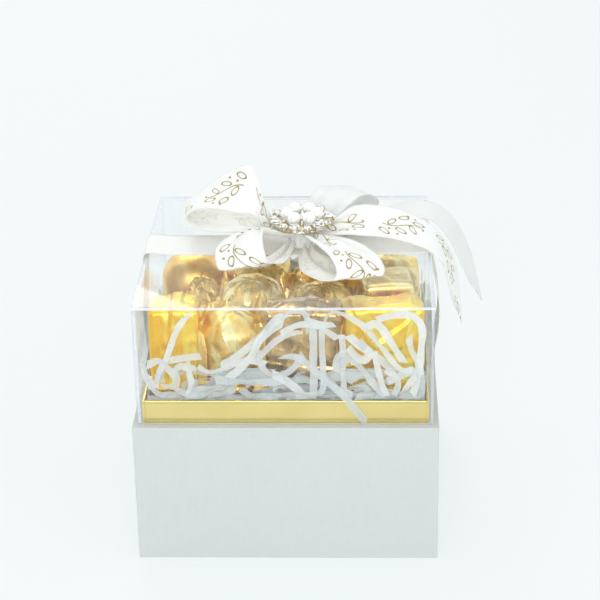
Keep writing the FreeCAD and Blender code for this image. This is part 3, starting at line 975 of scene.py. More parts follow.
@dataclass
class Bow:
    """The ribbon band, the bow's loops and tails, and the gathered knot; millimetres."""

    width: float = 25.0
    thickness: float = 0.5
    knot_radius: float = 7.5
    knot_height: float = 12.0
    gather_width: float = 6.5
    root_share: float = 0.85
    per_span: int = 12
    columns: int = 29
    pleats: int = 2
    pleat_limit: float = 1.3
    pleat_reach: float = 34.0
    pleat_phase: float = 0.6
    crown: float = 0.25
    band_end_height: float = 3.0
    band_bulges: Pair = (1.9, 4.2)
    band_side_drop: float = 6.0
    band_side_share: float = 0.93
    knot_round: float = 1.5
    knot_waist: float = 0.10
    knot_folds: int = 9
    fold_depth: float = 0.42

    # The band's line round the lid's edge, outwards and upwards from it, and on to its middle
    BAND_TURN = ((0.65, -4.2), (0.62, -1.3), (-0.35, 0.62), (-3.2, 1.05), (-8.0, 0.55), (-14.0, 0.06),
                 (-22.0, 0.0), (-46.0, 0.0), (-66.0, 0.0))

    STRIPS = (
        BowStrip("bow_loop_rear_left", True, 60.0, 26.0, (154, 0.60, 0.36), (
            (-0.25, 0.08, 0.33, 272, -15, 0.36), (-0.33, 0.09, 0.54, 272, -62, 0.62),
            (-0.415, 0.13, 1.00, 277, -66, 1.00), (-0.56, 0.17, 0.99, 274, -47, 0.97),
            (-0.74, 0.22, 0.88, 272, -18, 0.95), (-0.90, 0.26, 0.70, 270, 0, 0.95),
            (-1.00, 0.275, 0.50, 270, 0, 0.95), (-0.93, 0.275, 0.33, 267, -4, 0.95),
            (-0.73, 0.23, 0.30, 265, -8, 0.90), (-0.48, 0.17, 0.31, 260, -8, 0.78),
            (-0.25, 0.09, 0.22, 265, -4, 0.42))),
        BowStrip("bow_loop_front_left", True, 43.0, 12.0, (216, 0.68, 0.26), (
            (-0.30, -0.15, 0.80, -48, 5, 0.45), (-0.465, -0.22, 0.96, -35, 12, 0.65),
            (-0.65, -0.36, 1.00, -15, 20, 0.85), (-0.71, -0.55, 0.83, -7, 12, 0.97),
            (-0.69, -0.71, 0.50, 2, 7, 1.00), (-0.63, -0.78, 0.22, 14, 4, 1.00),
            (-0.48, -0.675, 0.10, 10, 1, 0.92), (-0.28, -0.43, 0.11, -5, 2, 0.50))),
        BowStrip("bow_loop_front_right", True, 55.0, 10.7, (293, 0.66, 0.16), (
            (0.11, -0.20, 0.84, 24, -4, 0.42), (0.18, -0.28, 0.94, 26, -7, 0.63),
            (0.335, -0.455, 1.00, 28, -6, 0.87), (0.47, -0.655, 0.91, 20, -6, 0.97),
            (0.54, -0.78, 0.53, 14, -3, 0.97), (0.52, -0.85, 0.21, 11, -1, 0.95),
            (0.39, -0.78, 0.08, 19, 0, 0.97), (0.19, -0.545, 0.08, 28, 0, 0.87),
            (0.065, -0.29, 0.11, 30, 0, 0.45))),
        BowStrip("bow_loop_rear_right", False, 50.0, 21.0, (54, 0.68, 0.38), (
            (0.16, 0.24, 0.42, 147, 12, 0.50), (0.215, 0.33, 0.63, 141, 14, 0.76),
            (0.315, 0.42, 0.86, 135, 8, 0.92), (0.45, 0.545, 0.88, 128, -4, 0.95),
            (0.575, 0.715, 0.74, 122, -7, 0.97), (0.67, 0.81, 0.48, 119, -6, 0.97),
            (0.59, 0.745, 0.27, 121, -6, 0.95), (0.365, 0.545, 0.20, 126, -4, 0.88),
            (0.18, 0.29, 0.23, 132, 0, 0.60))),
        BowStrip("bow_tail_front", True, 80.0, 12.5, (0, 0.60), (
            (0.195, 0.00, 0.72, 90, 10, 0.60), (0.33, 0.02, 1.00, 88, 17, 0.95),
            (0.50, 0.01, 1.00, 90, 17, 1.00), (0.66, -0.02, 0.82, 90, 16, 0.98),
            (0.80, -0.04, 0.44, 87, 10, 0.98), (0.90, -0.04, -0.20, 84, 5, 0.95),
            (0.95, -0.045, -1.00, 78, 0, 0.88), (0.98, -0.05, -2.00, 75, -10, 0.75),
            (1.00, -0.07, -2.95, 68, -52, 0.75))),
        BowStrip("bow_tail_rear", False, 90.0, 7.5, (45, 0.25), (
            (0.16, 0.13, 0.33, 117, 0, 0.45), (0.295, 0.245, 0.33, 103, 0, 0.88),
            (0.46, 0.29, 0.60, 97, 0, 0.97), (0.615, 0.30, 1.00, 92, 0, 0.97),
            (0.74, 0.305, 0.96, 88, 1, 0.95), (0.84, 0.29, 0.00, 83, 5, 0.93),
            (0.91, 0.26, -1.35, 78, 3, 0.87), (0.96, 0.225, -2.80, 74, -3, 0.75),
            (1.00, 0.185, -4.50, 57, -49, 0.85))),
    )

    def __post_init__(self) -> None:
        """Takes the knot's place and the lid's outline from the frame."""
        low, high = node_box("bow_knot")
        self.knot = np.array([*(low + high)[:2] / 2, low[2]])
        self.lid_x, _, self.lid_top = node_box("lid_top_panel")[1]
        self.base_height = node_box("lid_front_panel")[0][2]

    def strip(self, plan: BowStrip) -> tuple[Form, float]:
        """A loop or tail.

        A straight line of the ribbon's width is carried along a smooth path through the stations.
        Where the path gathers it, the spare width goes into waves across it, as deep as that
        width needs, and elsewhere the ribbon is a little crowned.

        Args:
            plan: Which loop or tail it is.
        Returns:
            The form, and its length along the middle.
        """
        yaw = plan.root[0]
        out = heading(yaw, 0.0) * self.knot_radius * self.root_share
        ends = [out + [0, 0, self.knot_height * share] for share in plan.root[1:]]
        gathered = heading(yaw + 90, 0.0) * self.gather_width
        table = np.array(plan.stations)
        middles = table[:, :3] * [plan.reach, plan.reach, plan.rise]
        widths = heading(table[:, 3], table[:, 4]) * (table[:, 5] * self.width)[:, None]
        keys = np.hstack([np.vstack([ends[0], middles] + ends[1:]),
                          np.vstack([gathered, widths] + [gathered] * (len(ends) - 1))])
        curve = smooth_rows(keys, self.per_span)
        middle, width = curve[:, :3] + self.knot, curve[:, 3:]
        across = np.linspace(-0.5, 0.5, self.columns)
        sheet = middle[:, None] + width[:, None] * across[:, None]
        span = np.linalg.norm(width, axis=1)
        along = path_length(middle)
        spare = np.sqrt(np.maximum(self.width / span - 1, 0))
        near = np.exp(-(along / self.pleat_reach) ** 2)
        if len(ends) > 1:
            near = near + near[::-1]
        depth = np.minimum(span / (math.pi * self.pleats) * spare, self.pleat_limit) * near
        wave = depth[:, None] * np.sin(2 * math.pi * self.pleats * across + self.pleat_phase)
        wave = wave + self.crown * (1 - 8 * across ** 2) * (span / self.width)[:, None]
        sheet = sheet + grid_normals(sheet) * wave[..., None]
        return self.cloth(sheet, across, along, 1), float(along[-1])

    def cloth(self, sheet: Array, across: Array, along: Array, side: int) -> Form:
        """A sheet given the ribbon's thickness and its flat map, with the side up that is named.

        Args:
            sheet: Grid of the ribbon's middle surface.
            across: Places over its width, from -0.5.
            along: Length travelled at each row.
            side: 1, or -1 to turn it over.
        Returns:
            The closed form.
        """
        normals = grid_normals(sheet) * (side * self.thickness / 2)
        uv = np.stack(np.broadcast_arrays(across + 0.5, along[:, None] / self.width), -1)
        return two_layers(sheet + normals, sheet - normals, uv)

    def band_path(self) -> Array:
        """The band's middle line: up the left side, over the lid and down the right.

        Each side is bowed out by a half sine, the top is straight, and a smooth curve lifts the
        ribbon a little where it goes round the lid's edge.

        Returns:
            Points of the line in the plane of X and Z.
        """
        half = self.thickness / 2
        low, high = self.base_height + self.band_end_height, self.lid_top - self.band_side_drop
        rise = np.linspace(0, self.band_side_share, 12)
        turn = np.array(self.BAND_TURN)
        halves = []
        for sign, bulge in zip((-1, 1), self.band_bulges):
            out = self.lid_x + half + bulge * np.sin(math.pi * rise)
            side = np.stack([out, low + (high - low) * rise], -1)
            edge = turn + [self.lid_x + half, self.lid_top + half]
            halves.append(smooth_rows(np.vstack([side, edge]), 5) * [sign, 1])
        return np.vstack([halves[0], halves[1][::-1]])

    def band(self) -> tuple[Form, float]:
        """The flat band: its middle line carried straight across."""
        path = self.band_path()
        across = np.linspace(-0.5, 0.5, 13)
        rows = np.stack([path[:, 0], np.full(len(path), self.knot[1]), path[:, 1]], -1)
        sheet = rows[:, None] + np.array([0, 1.0, 0]) * (across * self.width)[:, None]
        along = path_length(path)
        return self.cloth(sheet, across, along, -1), float(along[-1])

    def gathers(self) -> Form:
        """The knot: a drum drawn in at its waist, whose upright folds are waves round it."""
        turn = np.linspace(0, 2 * math.pi, 120, endpoint=False)
        corner = np.radians(np.linspace(0, 90, 8))[1:]
        side_rows, cap_rows = 26, 5
        up, inward = self.knot_round / self.knot_height, self.knot_round / self.knot_radius
        rise = np.concatenate([[0.02, 0.05], np.linspace(0.08, 1 - up, side_rows),
                               1 - up * (1 - np.sin(corner)), np.ones(cap_rows)])
        scale = np.concatenate([[0.5, 0.96], np.ones(side_rows), 1 - inward * (1 - np.cos(corner)),
                                np.linspace(0.7, 0.1, cap_rows)])
        swell = np.sin(math.pi * rise)[:, None]
        folds = self.fold_depth * (np.abs(np.sin(self.knot_folds * turn + 0.8 * np.sin(2 * turn))) - 1)
        radius = self.knot_radius * (1 - self.knot_waist * swell ** 2) + folds * swell ** 0.5
        radius = radius * scale[:, None]
        rings = np.stack([radius * np.cos(turn), radius * np.sin(turn),
                          np.broadcast_to((rise * self.knot_height)[:, None], radius.shape)], -1)
        return capped_tube(rings + self.knot)

    def build(self, finishes: Finishes) -> None:
        """Makes the ribbon's pieces.

        Args:
            finishes: The materials.
        """
        for plan in self.STRIPS:
            form, length = self.strip(plan)
            # The rear loop and tail, unprinted, take the greyer copy: painted shade
            material = finishes.printed if plan.printed else finishes.reverse
            piece = place_piece(plan.node + "_ribbon", form, material, "lid", [plan.node])
        form, length = self.band()
        piece = place_piece("band_ribbon", form, finishes.plain, "lid", ["ribbon_band"])
        place_piece("knot_gathers", self.gathers(), finishes.plain, "lid", ["bow_knot"])


@dataclass
class Brooch:
    """Pearls inside a ring of stones set in pronged cups; millimetres."""

    pairs: int = 7
    ring: float = 14.1
    large: float = 2.7
    small: float = 2.0
    cup_wall: float = 0.35
    cup_floor: float = 0.4
    pearls: int = 6
    pearl_ring: float = 7.6
    pearl_radius: float = 3.6
    pearl_lift: float = 0.3
    pearl_sides: int = 44
    stone_sides: int = 8
    cup_sides: int = 20
    prong_sides: int = 6
    prong_stand: Pair = (0.10, 0.06)
    seed: int = 11

    # How light a facet's painted reflection may be
    FACETS = (0.15, 0.5, 0.85, 1.0, 1.0)

    # A stone's profile from below, as radius and height in shares of its own radius
    GEM = ((0.08, -0.75), (0.62, -0.30), (1.0, 0.0), (1.0, 0.10), (0.84, 0.29), (0.58, 0.45), (0.05, 0.45))

    # The outside of a cup, as shares of its radius and its height
    CUP = ((0.3, 0.0), (0.82, 0.0), (0.86, 0.25), (0.80, 0.5), (1.0, 0.9), (1.0, 1.0))

    # Where round a cup its prongs stand, as shares of a turn, and how thick they are from the foot up
    PRONGS = (0.125, 0.375, 0.625, 0.875)
    PRONG_RADII = (0.24, 0.30, 0.32, 0.28, 0.16)

    def __post_init__(self) -> None:
        """Takes the plate's top from the frame."""
        low, high = node_box("brooch_plate")
        self.middle = np.array([*(low + high)[:2] / 2, high[2]])
        self.random = np.random.default_rng(self.seed)

    def around(self, radius: float, share: float) -> Array:
        """A place on the plate, a share of a turn round it."""
        angle = 2 * math.pi * share
        return self.middle + [radius * math.cos(angle), radius * math.sin(angle), 0]

    def cup_height(self, radius: float) -> float:
        """The height of the cup of a stone: its floor and the stone's lower part."""
        return self.cup_floor - self.GEM[0][1] * radius

    def turned(self, profile: Array, sides: int, place: Array, phase: Union[Array, float] = 0.0) -> Form:
        """A profile of radius and height turned about an upright axis.

        Args:
            profile: Radius and height of each ring.
            sides: How many points a ring has.
            place: Where the axis stands.
            phase: How far each ring is turned.
        Returns:
            The closed form.
        """
        turn = np.linspace(0, 2 * math.pi, sides, endpoint=False)
        turn = turn + np.broadcast_to(phase, len(profile))[:, None]
        radius, height = profile[:, :1], np.broadcast_to(profile[:, 1:], turn.shape)
        return capped_tube(np.stack([radius * np.cos(turn), radius * np.sin(turn), height], -1) + place)

    def gem(self, radius: float, place: Array) -> Form:
        """A cut stone: rings of eight facets whose corners step half a facet from ring to ring.

        Args:
            radius: The stone's radius.
            place: Where it stands on the plate.
        Returns:
            The closed form, with a value for each facet that paints its reflection light or dark.
        """
        half = math.pi / self.stone_sides
        middle = place + [0, 0, self.cup_height(radius)]
        steps = np.array([0, half, 0, 0, half, 0, 0])
        form = self.turned(np.array(self.GEM) * radius, self.stone_sides, middle, steps)
        form.face_values = {"facet": self.random.choice(self.FACETS, len(form.faces))}
        return form

    def cup(self, radius: float, place: Array) -> list[Form]:
        """A cup with a cone sunk in it for the stone, and four prongs bent over the stone's edge.

        Args:
            radius: The stone's radius.
            place: Where it stands on the plate.
        Returns:
            The cup and its prongs.
        """
        high = self.cup_height(radius)
        out = radius + self.cup_wall
        bowl = [(radius * 1.02, high), (0.05, self.cup_floor * 0.6)]
        forms = [self.turned(np.vstack([np.array(self.CUP) * [out, high], bowl]), self.cup_sides, place)]
        belly, neck = out + np.array(self.prong_stand)
        path = np.array([(out, 0.55 * high), (belly, 0.95 * high), (neck, high + 0.14 * radius),
                         (0.93 * radius, high + 0.32 * radius), (0.80 * radius, high + 0.37 * radius)])
        thick = np.array(self.PRONG_RADII)[:, None, None]
        spot = np.linspace(0, 2 * math.pi, self.prong_sides, endpoint=False)[:, None]
        for share in self.PRONGS:
            angle = 2 * math.pi * share
            outward = np.array([math.cos(angle), math.sin(angle), 0])
            side = np.array([-outward[1], outward[0], 0])
            middle = place + path[:, :1] * outward + path[:, 1:] * np.array([0, 0, 1.0])
            normal = np.cross(unit(np.gradient(middle, axis=0)), side)
            rings = middle[:, None] + thick * (np.cos(spot) * side + np.sin(spot) * normal[:, None])
            forms.append(capped_tube(rings))
        return forms

    def pearl(self, place: Array) -> Form:
        """A ball: a half circle turned about the upright axis, drilled ends closed.

        Args:
            place: Where it stands on the plate.
        Returns:
            The closed form.
        """
        rise = np.radians(np.linspace(-88, 88, 30))
        profile = np.stack([np.cos(rise), np.sin(rise)], -1) * self.pearl_radius
        return self.turned(profile, self.pearl_sides, place + [0, 0, self.pearl_lift + self.pearl_radius])

    def build(self, finishes: Finishes) -> None:
        """Makes the stones, their cups and the pearls.

        Args:
            finishes: The materials.
        """
        count = 2 * self.pairs
        places = [self.around(self.ring, i / count) for i in range(count)]
        sizes = (("large", self.large, places[0::2] + [self.around(0, 0)]),
                 ("small", self.small, places[1::2]))
        cups = []
        for name, radius, spots in sizes:
            gems = joined([self.gem(radius, spot) for spot in spots])
            place_piece(name + "_stones", gems, finishes.stone, "lid",
                        ["brooch_" + name + "_stones"], smooth=False)
            cups += [form for spot in spots for form in self.cup(radius, spot)]
        place_piece("stone_cups", joined(cups), finishes.metal, "lid", ["brooch_cups"])
        balls = [self.pearl(self.around(self.pearl_ring, i / self.pearls)) for i in range(self.pearls)]
        place_piece("pearls", joined(balls), finishes.pearl, "lid", ["brooch_pearls"])


class Shape(Enum):
    """The chocolates' five shapes: width, depth, height, and the rounding of the top; millimetres."""

    BLOCK = (24.0, 26.0, 42.0, 2.5)
    SLAB = (37.0, 22.0, 41.0, 2.5)
    CUBE = (27.0, 27.0, 27.0, 2.5)
    DOME = (31.4, 31.4, 38.0, 12.56)
    PRALINE = (29.6, 29.6, 30.0, 11.84)


@dataclass(frozen=True)
class Wrap:
    """One chocolate: shape, lean and turn in degrees, foil, strength of its crumples, and set creases.

    A crease is the plane that it lies in, as a direction and a place in shares of the half size, and
    how high it stands in millimetres. Beyond the plane of a pressed side, the foil is smooth and painted
    fully shaded.
    """

    shape: Shape
    lean: float
    turn: float
    tone: FoilTone
    crumple: float
    creases: tuple = ()
    pressed: Optional[tuple] = None


@dataclass
class Chocolates:
    """Foil-wrapped chocolates, each where the frame's node lies; millimetres."""

    foot_round: float = 2.5
    columns: int = 120
    side_rows: int = 46
    square_power: float = 14.0
    cap_share: float = 0.96
    least_off: float = 0.4
    most_off: float = 2.2
    outliers: Pair = (0.04, 0.96)
    fold_reach: float = 0.5
    fold_edge: float = 0.04
    overlaps: int = 2
    overlap_step: float = 0.25
    overlap_edge: float = 0.02
    overlap_reach: float = 0.4
    overlap_lean: tuple[float, float, float] = (1.0, 1.0, 0.6)
    tucks: int = 11
    tuck_depth: float = 0.5
    tuck_sway: float = 0.6
    tuck_start: float = 0.2
    tuck_fade: float = 0.5
    pressed_edge: float = 0.1
    # Painted shade: facets tilted towards this side are painted nearer the shaded gold, by the strength below
    shaded_side: tuple[float, float, float] = (-0.8, 0.1, -0.6)
    tilt_shading: float = 3.8
    mean_warmth: float = 0.4
    warm_swing: float = 0.2
    warm_spans: Pair = (20.0, 40.0)
    seed: int = 5
    loose_foot: float = 88.5
    loose_reach: tuple[float, float, float] = (66.5, -62.8, 66.0)
    loose_grid: tuple[int, int] = (190, 150)
    loose_slope: float = 15.0
    loose_front_slope: float = 7.0
    loose_set_back: float = 12.0
    loose_edge: float = 1.5
    # The loose folds' painted shade: its mean, and its strength by facet tilt
    loose_shading: Pair = (0.65, 0.5)
    loose_thickness: float = 0.12

    # Facets of a wrapper and of the loose folds: height, number of waves, and their lengths
    FACETS = ((3.4, 5, (16.0, 30.0)), (1.7, 7, (6.0, 12.0)))
    ROUND_FACETS = (0.9, 3, (4.5, 8.0))
    LOOSE_FACETS = ((15.0, 5, (12.0, 26.0)), (6.0, 7, (5.0, 9.0)))

    # The loose folds' level, as Y and Z from the front to the back
    LOOSE_LEVELS = ((-62.8, 119.0), (-40.0, 119.0), (-26.0, 115.0), (24.0, 115.0), (40.0, 97.0), (66.0, 97.0))

    # How far inside each front chocolate's sides the loose folds still come forward
    FRONT_SPARES = (2.2, 5.0, 1.5, 1.0)

    ROUND = (Shape.DOME, Shape.PRALINE)
    WRAPS = (
        Wrap(Shape.BLOCK, 7, 3, FoilTone.LEMON, 0.3, (((1, 0, 0.1), 0.45, 1.2), ((-1, 0, 0.12), 0.2, 0.9)),
             ((-1, 0.1, 0.1), 0.40)),
        Wrap(Shape.DOME, 0, 0, FoilTone.PALE, 0.9, (((0.9, 0.1, 0.45), 0.1, 0.9),), ((-1, 0.25, 0.1), 0.30)),
        # The piece under the bow: its foil holds painted shade
        Wrap(Shape.SLAB, 6, 0, FoilTone.BRONZE, 0.7, (
            ((0.6, 0, 0.8), 0.25, 1.2), ((0.8, 0, -0.5), -0.2, 1.1), ((-0.9, 0, 0.4), 0.3, 1.0),
            ((0.1, 0, 1), -0.35, 0.9))),
        Wrap(Shape.SLAB, 9, 6, FoilTone.LEMON, 0.5, (
            ((0.75, 0, 0.66), -0.1, 1.2), ((-0.55, 0, 0.83), 0.2, 1.2), ((0.3, 0, -0.95), 0.1, 1.0),
            ((1, 0, -0.3), 0.45, 1.0), ((-0.9, 0, -0.4), 0.35, 1.0))),
        Wrap(Shape.DOME, 0, 0, FoilTone.AMBER, 0.3),
        Wrap(Shape.DOME, 0, 0, FoilTone.PALE, 1.0, (((0.7, -0.3, 0.65), 0.2, 1.0),)),
        Wrap(Shape.DOME, 0, 0, FoilTone.STRAW, 0.9),
        Wrap(Shape.BLOCK, 4, 6, FoilTone.PALE, 0.2),
        Wrap(Shape.DOME, 0, 0, FoilTone.AMBER, 0.2),
        Wrap(Shape.DOME, 0, 0, FoilTone.STRAW, 0.8),
        Wrap(Shape.PRALINE, 0, 0, FoilTone.PALE, 0.8),
        Wrap(Shape.DOME, 0, 0, FoilTone.PALE, 0.5),
        Wrap(Shape.PRALINE, 0, 0, FoilTone.LEMON, 0.6),
        Wrap(Shape.CUBE, 0, 6, FoilTone.PALE, 0.7),
        Wrap(Shape.PRALINE, 0, 0, FoilTone.AMBER, 0.5),
        Wrap(Shape.CUBE, 0, -6, FoilTone.LEMON, 0.7),
    )

    def outline(self, shape: Shape) -> Array:
        """The shape's plan, as evenly spaced points.

        A power of the circle, |x/a|^n + |y/b|^n = 1: n is 2 for a round one and 14 for a square one.

        Args:
            shape: Which shape it is.
        Returns:
            X and Y of the points.
        """
        width, depth, _, _ = shape.value
        power = 2.0 if shape in self.ROUND else self.square_power
        turn = np.linspace(0, 2 * math.pi, 1441)
        cosine, sine = np.cos(turn), np.sin(turn)
        radius = (np.abs(cosine) ** power + np.abs(sine) ** power) ** (-1 / power)
        plan = np.stack([cosine * width, sine * depth], -1) * radius[:, None] / 2
        return even_steps(plan, self.columns + 1)[1][:-1]

    def body(self, shape: Shape) -> Array:
        """The plan carried up the height, drawn in by quarter circles at the foot and the top.

        Args:
            shape: Which shape it is.
        Returns:
            Rings of points from the foot to the top.
        """
        width, depth, height, top_round = shape.value
        corner = np.radians(np.linspace(0, 90, 12))
        cap = np.linspace(0, 1, 14)[1:]
        foot_in = self.foot_round * (1 - np.cos(corner))[::-1]
        foot_z = self.foot_round * (1 - np.sin(corner))[::-1]
        top_in = top_round * (1 - np.cos(corner))
        top_z = height - top_round * (1 - np.sin(corner))
        side_z = np.linspace(self.foot_round, height - top_round, self.side_rows)[1:-1]
        most = min(width, depth) / 2 * self.cap_share
        inset = np.concatenate([most + (foot_in[0] - most) * cap[:-1], foot_in, np.zeros(len(side_z)),
                                top_in, top_in[-1] + (most - top_in[-1]) * cap])
        rise = np.concatenate([np.zeros(len(cap) - 1), foot_z, side_z, top_z, np.full(len(cap), height)])
        half = np.array([width, depth]) / 2
        plan = self.outline(shape)
        rings = plan[None] * (1 - inset[:, None, None] / half)
        return np.concatenate([rings, np.broadcast_to(rise[:, None, None], (*rings.shape[:2], 1))], -1)

    def zigzags(self, points: Array, count: int, spans: Pair, random: np.random.Generator) -> Array:
        """A field of flat facets: the mean of triangle waves that run in random directions, from -1 to 1.

        Args:
            points: Where it is wanted.
            count: How many waves there are.
            spans: The least and greatest length of a wave.
            random: The source of the directions.
        Returns:
            The field at each point.
        """
        ways = unit(random.normal(size=(count, 3))) / random.uniform(*spans, size=(count, 1))
        phase = points @ ways.T + random.uniform(0, 1, count)
        return (triangle(phase) * 2 - 1).mean(-1)

    def local(self, rings: Array, wrap: Wrap) -> Array:
        """Places on a chocolate as shares of its half sizes, from its middle."""
        half = np.array(wrap.shape.value[:3]) / 2
        return (rings - [0, 0, half[2]]) / half

    def smoothed(self, local: Array, wrap: Wrap) -> Array:
        """How far the foil is pressed smooth at each place: 1 beyond the pressed side's plane, else 0.

        Args:
            local: Places as shares of the half sizes.
            wrap: Which chocolate it is.
        Returns:
            The share at each place.
        """
        if wrap.pressed is None:
            return np.zeros(local.shape[:-1])
        way, start = wrap.pressed
        return np.clip((local @ unit(np.array(way, dtype=float)) - start) / self.pressed_edge, 0, 1)

    def crumpled(self, rings: Array, wrap: Wrap, random: np.random.Generator) -> Array:
        """How far the foil stands off at each point.

        Large and small facets of crossing triangle waves, flaps that rise slowly to the set creases
        and end there, two overlaps that are small steps, and on a round one finer facets and tucks
        that fan out from its top.

        Args:
            rings: The smooth body.
            wrap: Which chocolate it is.
            random: The source of the folds.
        Returns:
            The offset along the normal at each point.
        """
        local = self.local(rings, wrap)
        height = wrap.crumple * sum(tall * self.zigzags(rings, count, spans, random)
                                    for tall, count, spans in self.FACETS)
        for way, place, tall in wrap.creases:
            past = local @ unit(np.array(way, dtype=float)) - place
            flap = np.minimum(1 + past / self.fold_reach, 1 - past / self.fold_edge)
            height = height + tall * np.clip(flap, 0, 1)
        for _ in range(self.overlaps):
            way = unit(random.normal(size=3) * self.overlap_lean)
            step = (local @ way - random.uniform(-self.overlap_reach, self.overlap_reach)) / self.overlap_edge
            height = height + self.overlap_step / (1 + np.exp(-np.clip(step, -30, 30)))
        if wrap.shape in self.ROUND:
            turn = np.arctan2(rings[..., 1], rings[..., 0])
            fan = triangle((turn * self.tucks / math.pi + self.tuck_sway * np.sin(3 * turn)) / 2)
            near_top = np.clip((local[..., 2] - self.tuck_start) / self.tuck_fade, 0, 1)
            tall, count, spans = self.ROUND_FACETS
            fine = tall * self.zigzags(rings, count, spans, random)
            height = height + wrap.crumple * (self.tuck_depth * (fan - 0.5) * near_top + fine)
        height = height * (1 - self.smoothed(local, wrap))
        low, high = np.quantile(height, self.outliers)
        scale = min(1.0, (self.most_off - self.least_off) / max(high - low, 1e-6))
        return np.clip((height - low) * scale + self.least_off, self.least_off, self.most_off)

    def piece(self, index: int, wrap: Wrap) -> Form:
        """One chocolate: its body turned and leaned as its node is, crumpled, and set in the node's box.

        Args:
            index: Its place in the table.
            wrap: Its row of the table.
        Returns:
            The closed form, with the value "warm", which holds painted shade.
        """
        random = np.random.default_rng(self.seed + index)
        rings = self.body(wrap.shape)
        closed = np.concatenate([rings[:, -1:], rings, rings[:, :1]], 1)
        normals = grid_normals(closed)[:, 1:-1]
        if float((normals * (rings - rings.mean((0, 1)))).sum()) < 0:
            normals = -normals
        offset = self.crumpled(rings, wrap, random)
        lean, turn = math.radians(-wrap.lean), math.radians(wrap.turn)
        spin = np.array(Matrix.Rotation(turn, 3, "Z") @ Matrix.Rotation(lean, 3, "X"))
        smooth = rings @ spin.T
        low, high = node_box(CHOCOLATE % (index + 1))
        shift = (low + high) / 2 - (smooth.min((0, 1)) + smooth.max((0, 1))) / 2
        folded = rings + normals * offset[..., None]
        form = capped_tube(folded @ spin.T + shift)
        closed = np.concatenate([folded[:, -1:], folded, folded[:, :1]], 1)
        tilted = grid_normals(closed)[:, 1:-1]
        tilted = tilted * np.sign((tilted * normals).sum(-1, keepdims=True))
        # Painted shade: facets tilted towards the shaded side are painted darker, then swung at random
        warm = self.mean_warmth + (tilted - normals) @ np.array(self.shaded_side) * self.tilt_shading
        warm = np.clip(warm + self.warm_swing * self.zigzags(rings, 3, self.warm_spans, random), 0, 1)
        # Painted shade: the pressed side takes the full shaded gold
        warm = np.maximum(warm, self.smoothed(self.local(rings, wrap), wrap))
        form.values = {"warm": np.concatenate([warm.ravel(), [warm[0].mean(), warm[-1].mean()]])}
        return form

    def loose_folds(self) -> Form:
        """The wrappers' loose corners, which meet in the gaps: one crumpled sheet that dips at its rim.

        Its height is a level, lower at the back, that comes down smoothly to the bed along the rim,
        with the facets of crossing triangle waves on it. Its front rim runs behind each chocolate of
        the front row and comes forward between them.

        Returns:
            The closed sheet.
        """
        random = np.random.default_rng(self.seed + len(self.WRAPS))
        side, front, back = self.loose_reach
        columns, rows = self.loose_grid
        x, y = np.meshgrid(np.linspace(-side, side, columns), np.linspace(front, back, rows), indexing="ij")
        behind = np.zeros_like(x)
        for index, spare in enumerate(self.FRONT_SPARES):
            low, high = node_box(CHOCOLATE % (index + 1))
            inside = np.minimum(x - low[0], high[0] - x) - spare
            behind = np.maximum(behind, np.clip(inside / self.loose_edge + 0.5, 0, 1))
        start = front + behind * self.loose_set_back
        rim = np.minimum(side - np.abs(x), back - y) / self.loose_slope
        share = np.clip(np.minimum(rim, (y - start) / self.loose_front_slope), 0, 1)
        share = share * share * (3 - 2 * share)
        level = np.interp(y, *np.array(self.LOOSE_LEVELS).T)
        flat = np.stack([x, y, np.zeros_like(x)], -1)
        folds = sum(tall * self.zigzags(flat, count, spans, random)
                    for tall, count, spans in self.LOOSE_FACETS)
        z = self.loose_foot + (level - self.loose_foot + folds) * share
        sheet = np.stack([x, y, z], -1)
        normals = grid_normals(sheet)
        half = normals * (self.loose_thickness / 2)
        form = two_layers(sheet + half, sheet - half)
        # Painted shade: facets tilted towards the shaded side are painted darker
        mean, swing = self.loose_shading
        warm = np.clip(mean + normals @ np.array(self.shaded_side) * swing, 0, 1)
        form.values["warm"] = np.concatenate([warm.ravel()] * 2)
        return form

    def build(self, finishes: Finishes) -> None:
        """Makes the sixteen wrappers and their loose corners.

        Args:
            finishes: The materials.
        """
        place_piece("wrapper_loose_folds", self.loose_folds(), finishes.foils[FoilTone.STRAW], "base",
                    smooth=False)
        for index, wrap in enumerate(self.WRAPS):
            place_piece("wrapper_%02d" % (index + 1), self.piece(index, wrap), finishes.foils[wrap.tone],
                        "base", [CHOCOLATE % (index + 1)])


@dataclass(frozen=True)
class Strand:
    """One listed strip: its depths from the front at each end, its leans in degrees, and its route."""

    near: float
    far: float
    lean: float
    end_lean: float
    route: tuple


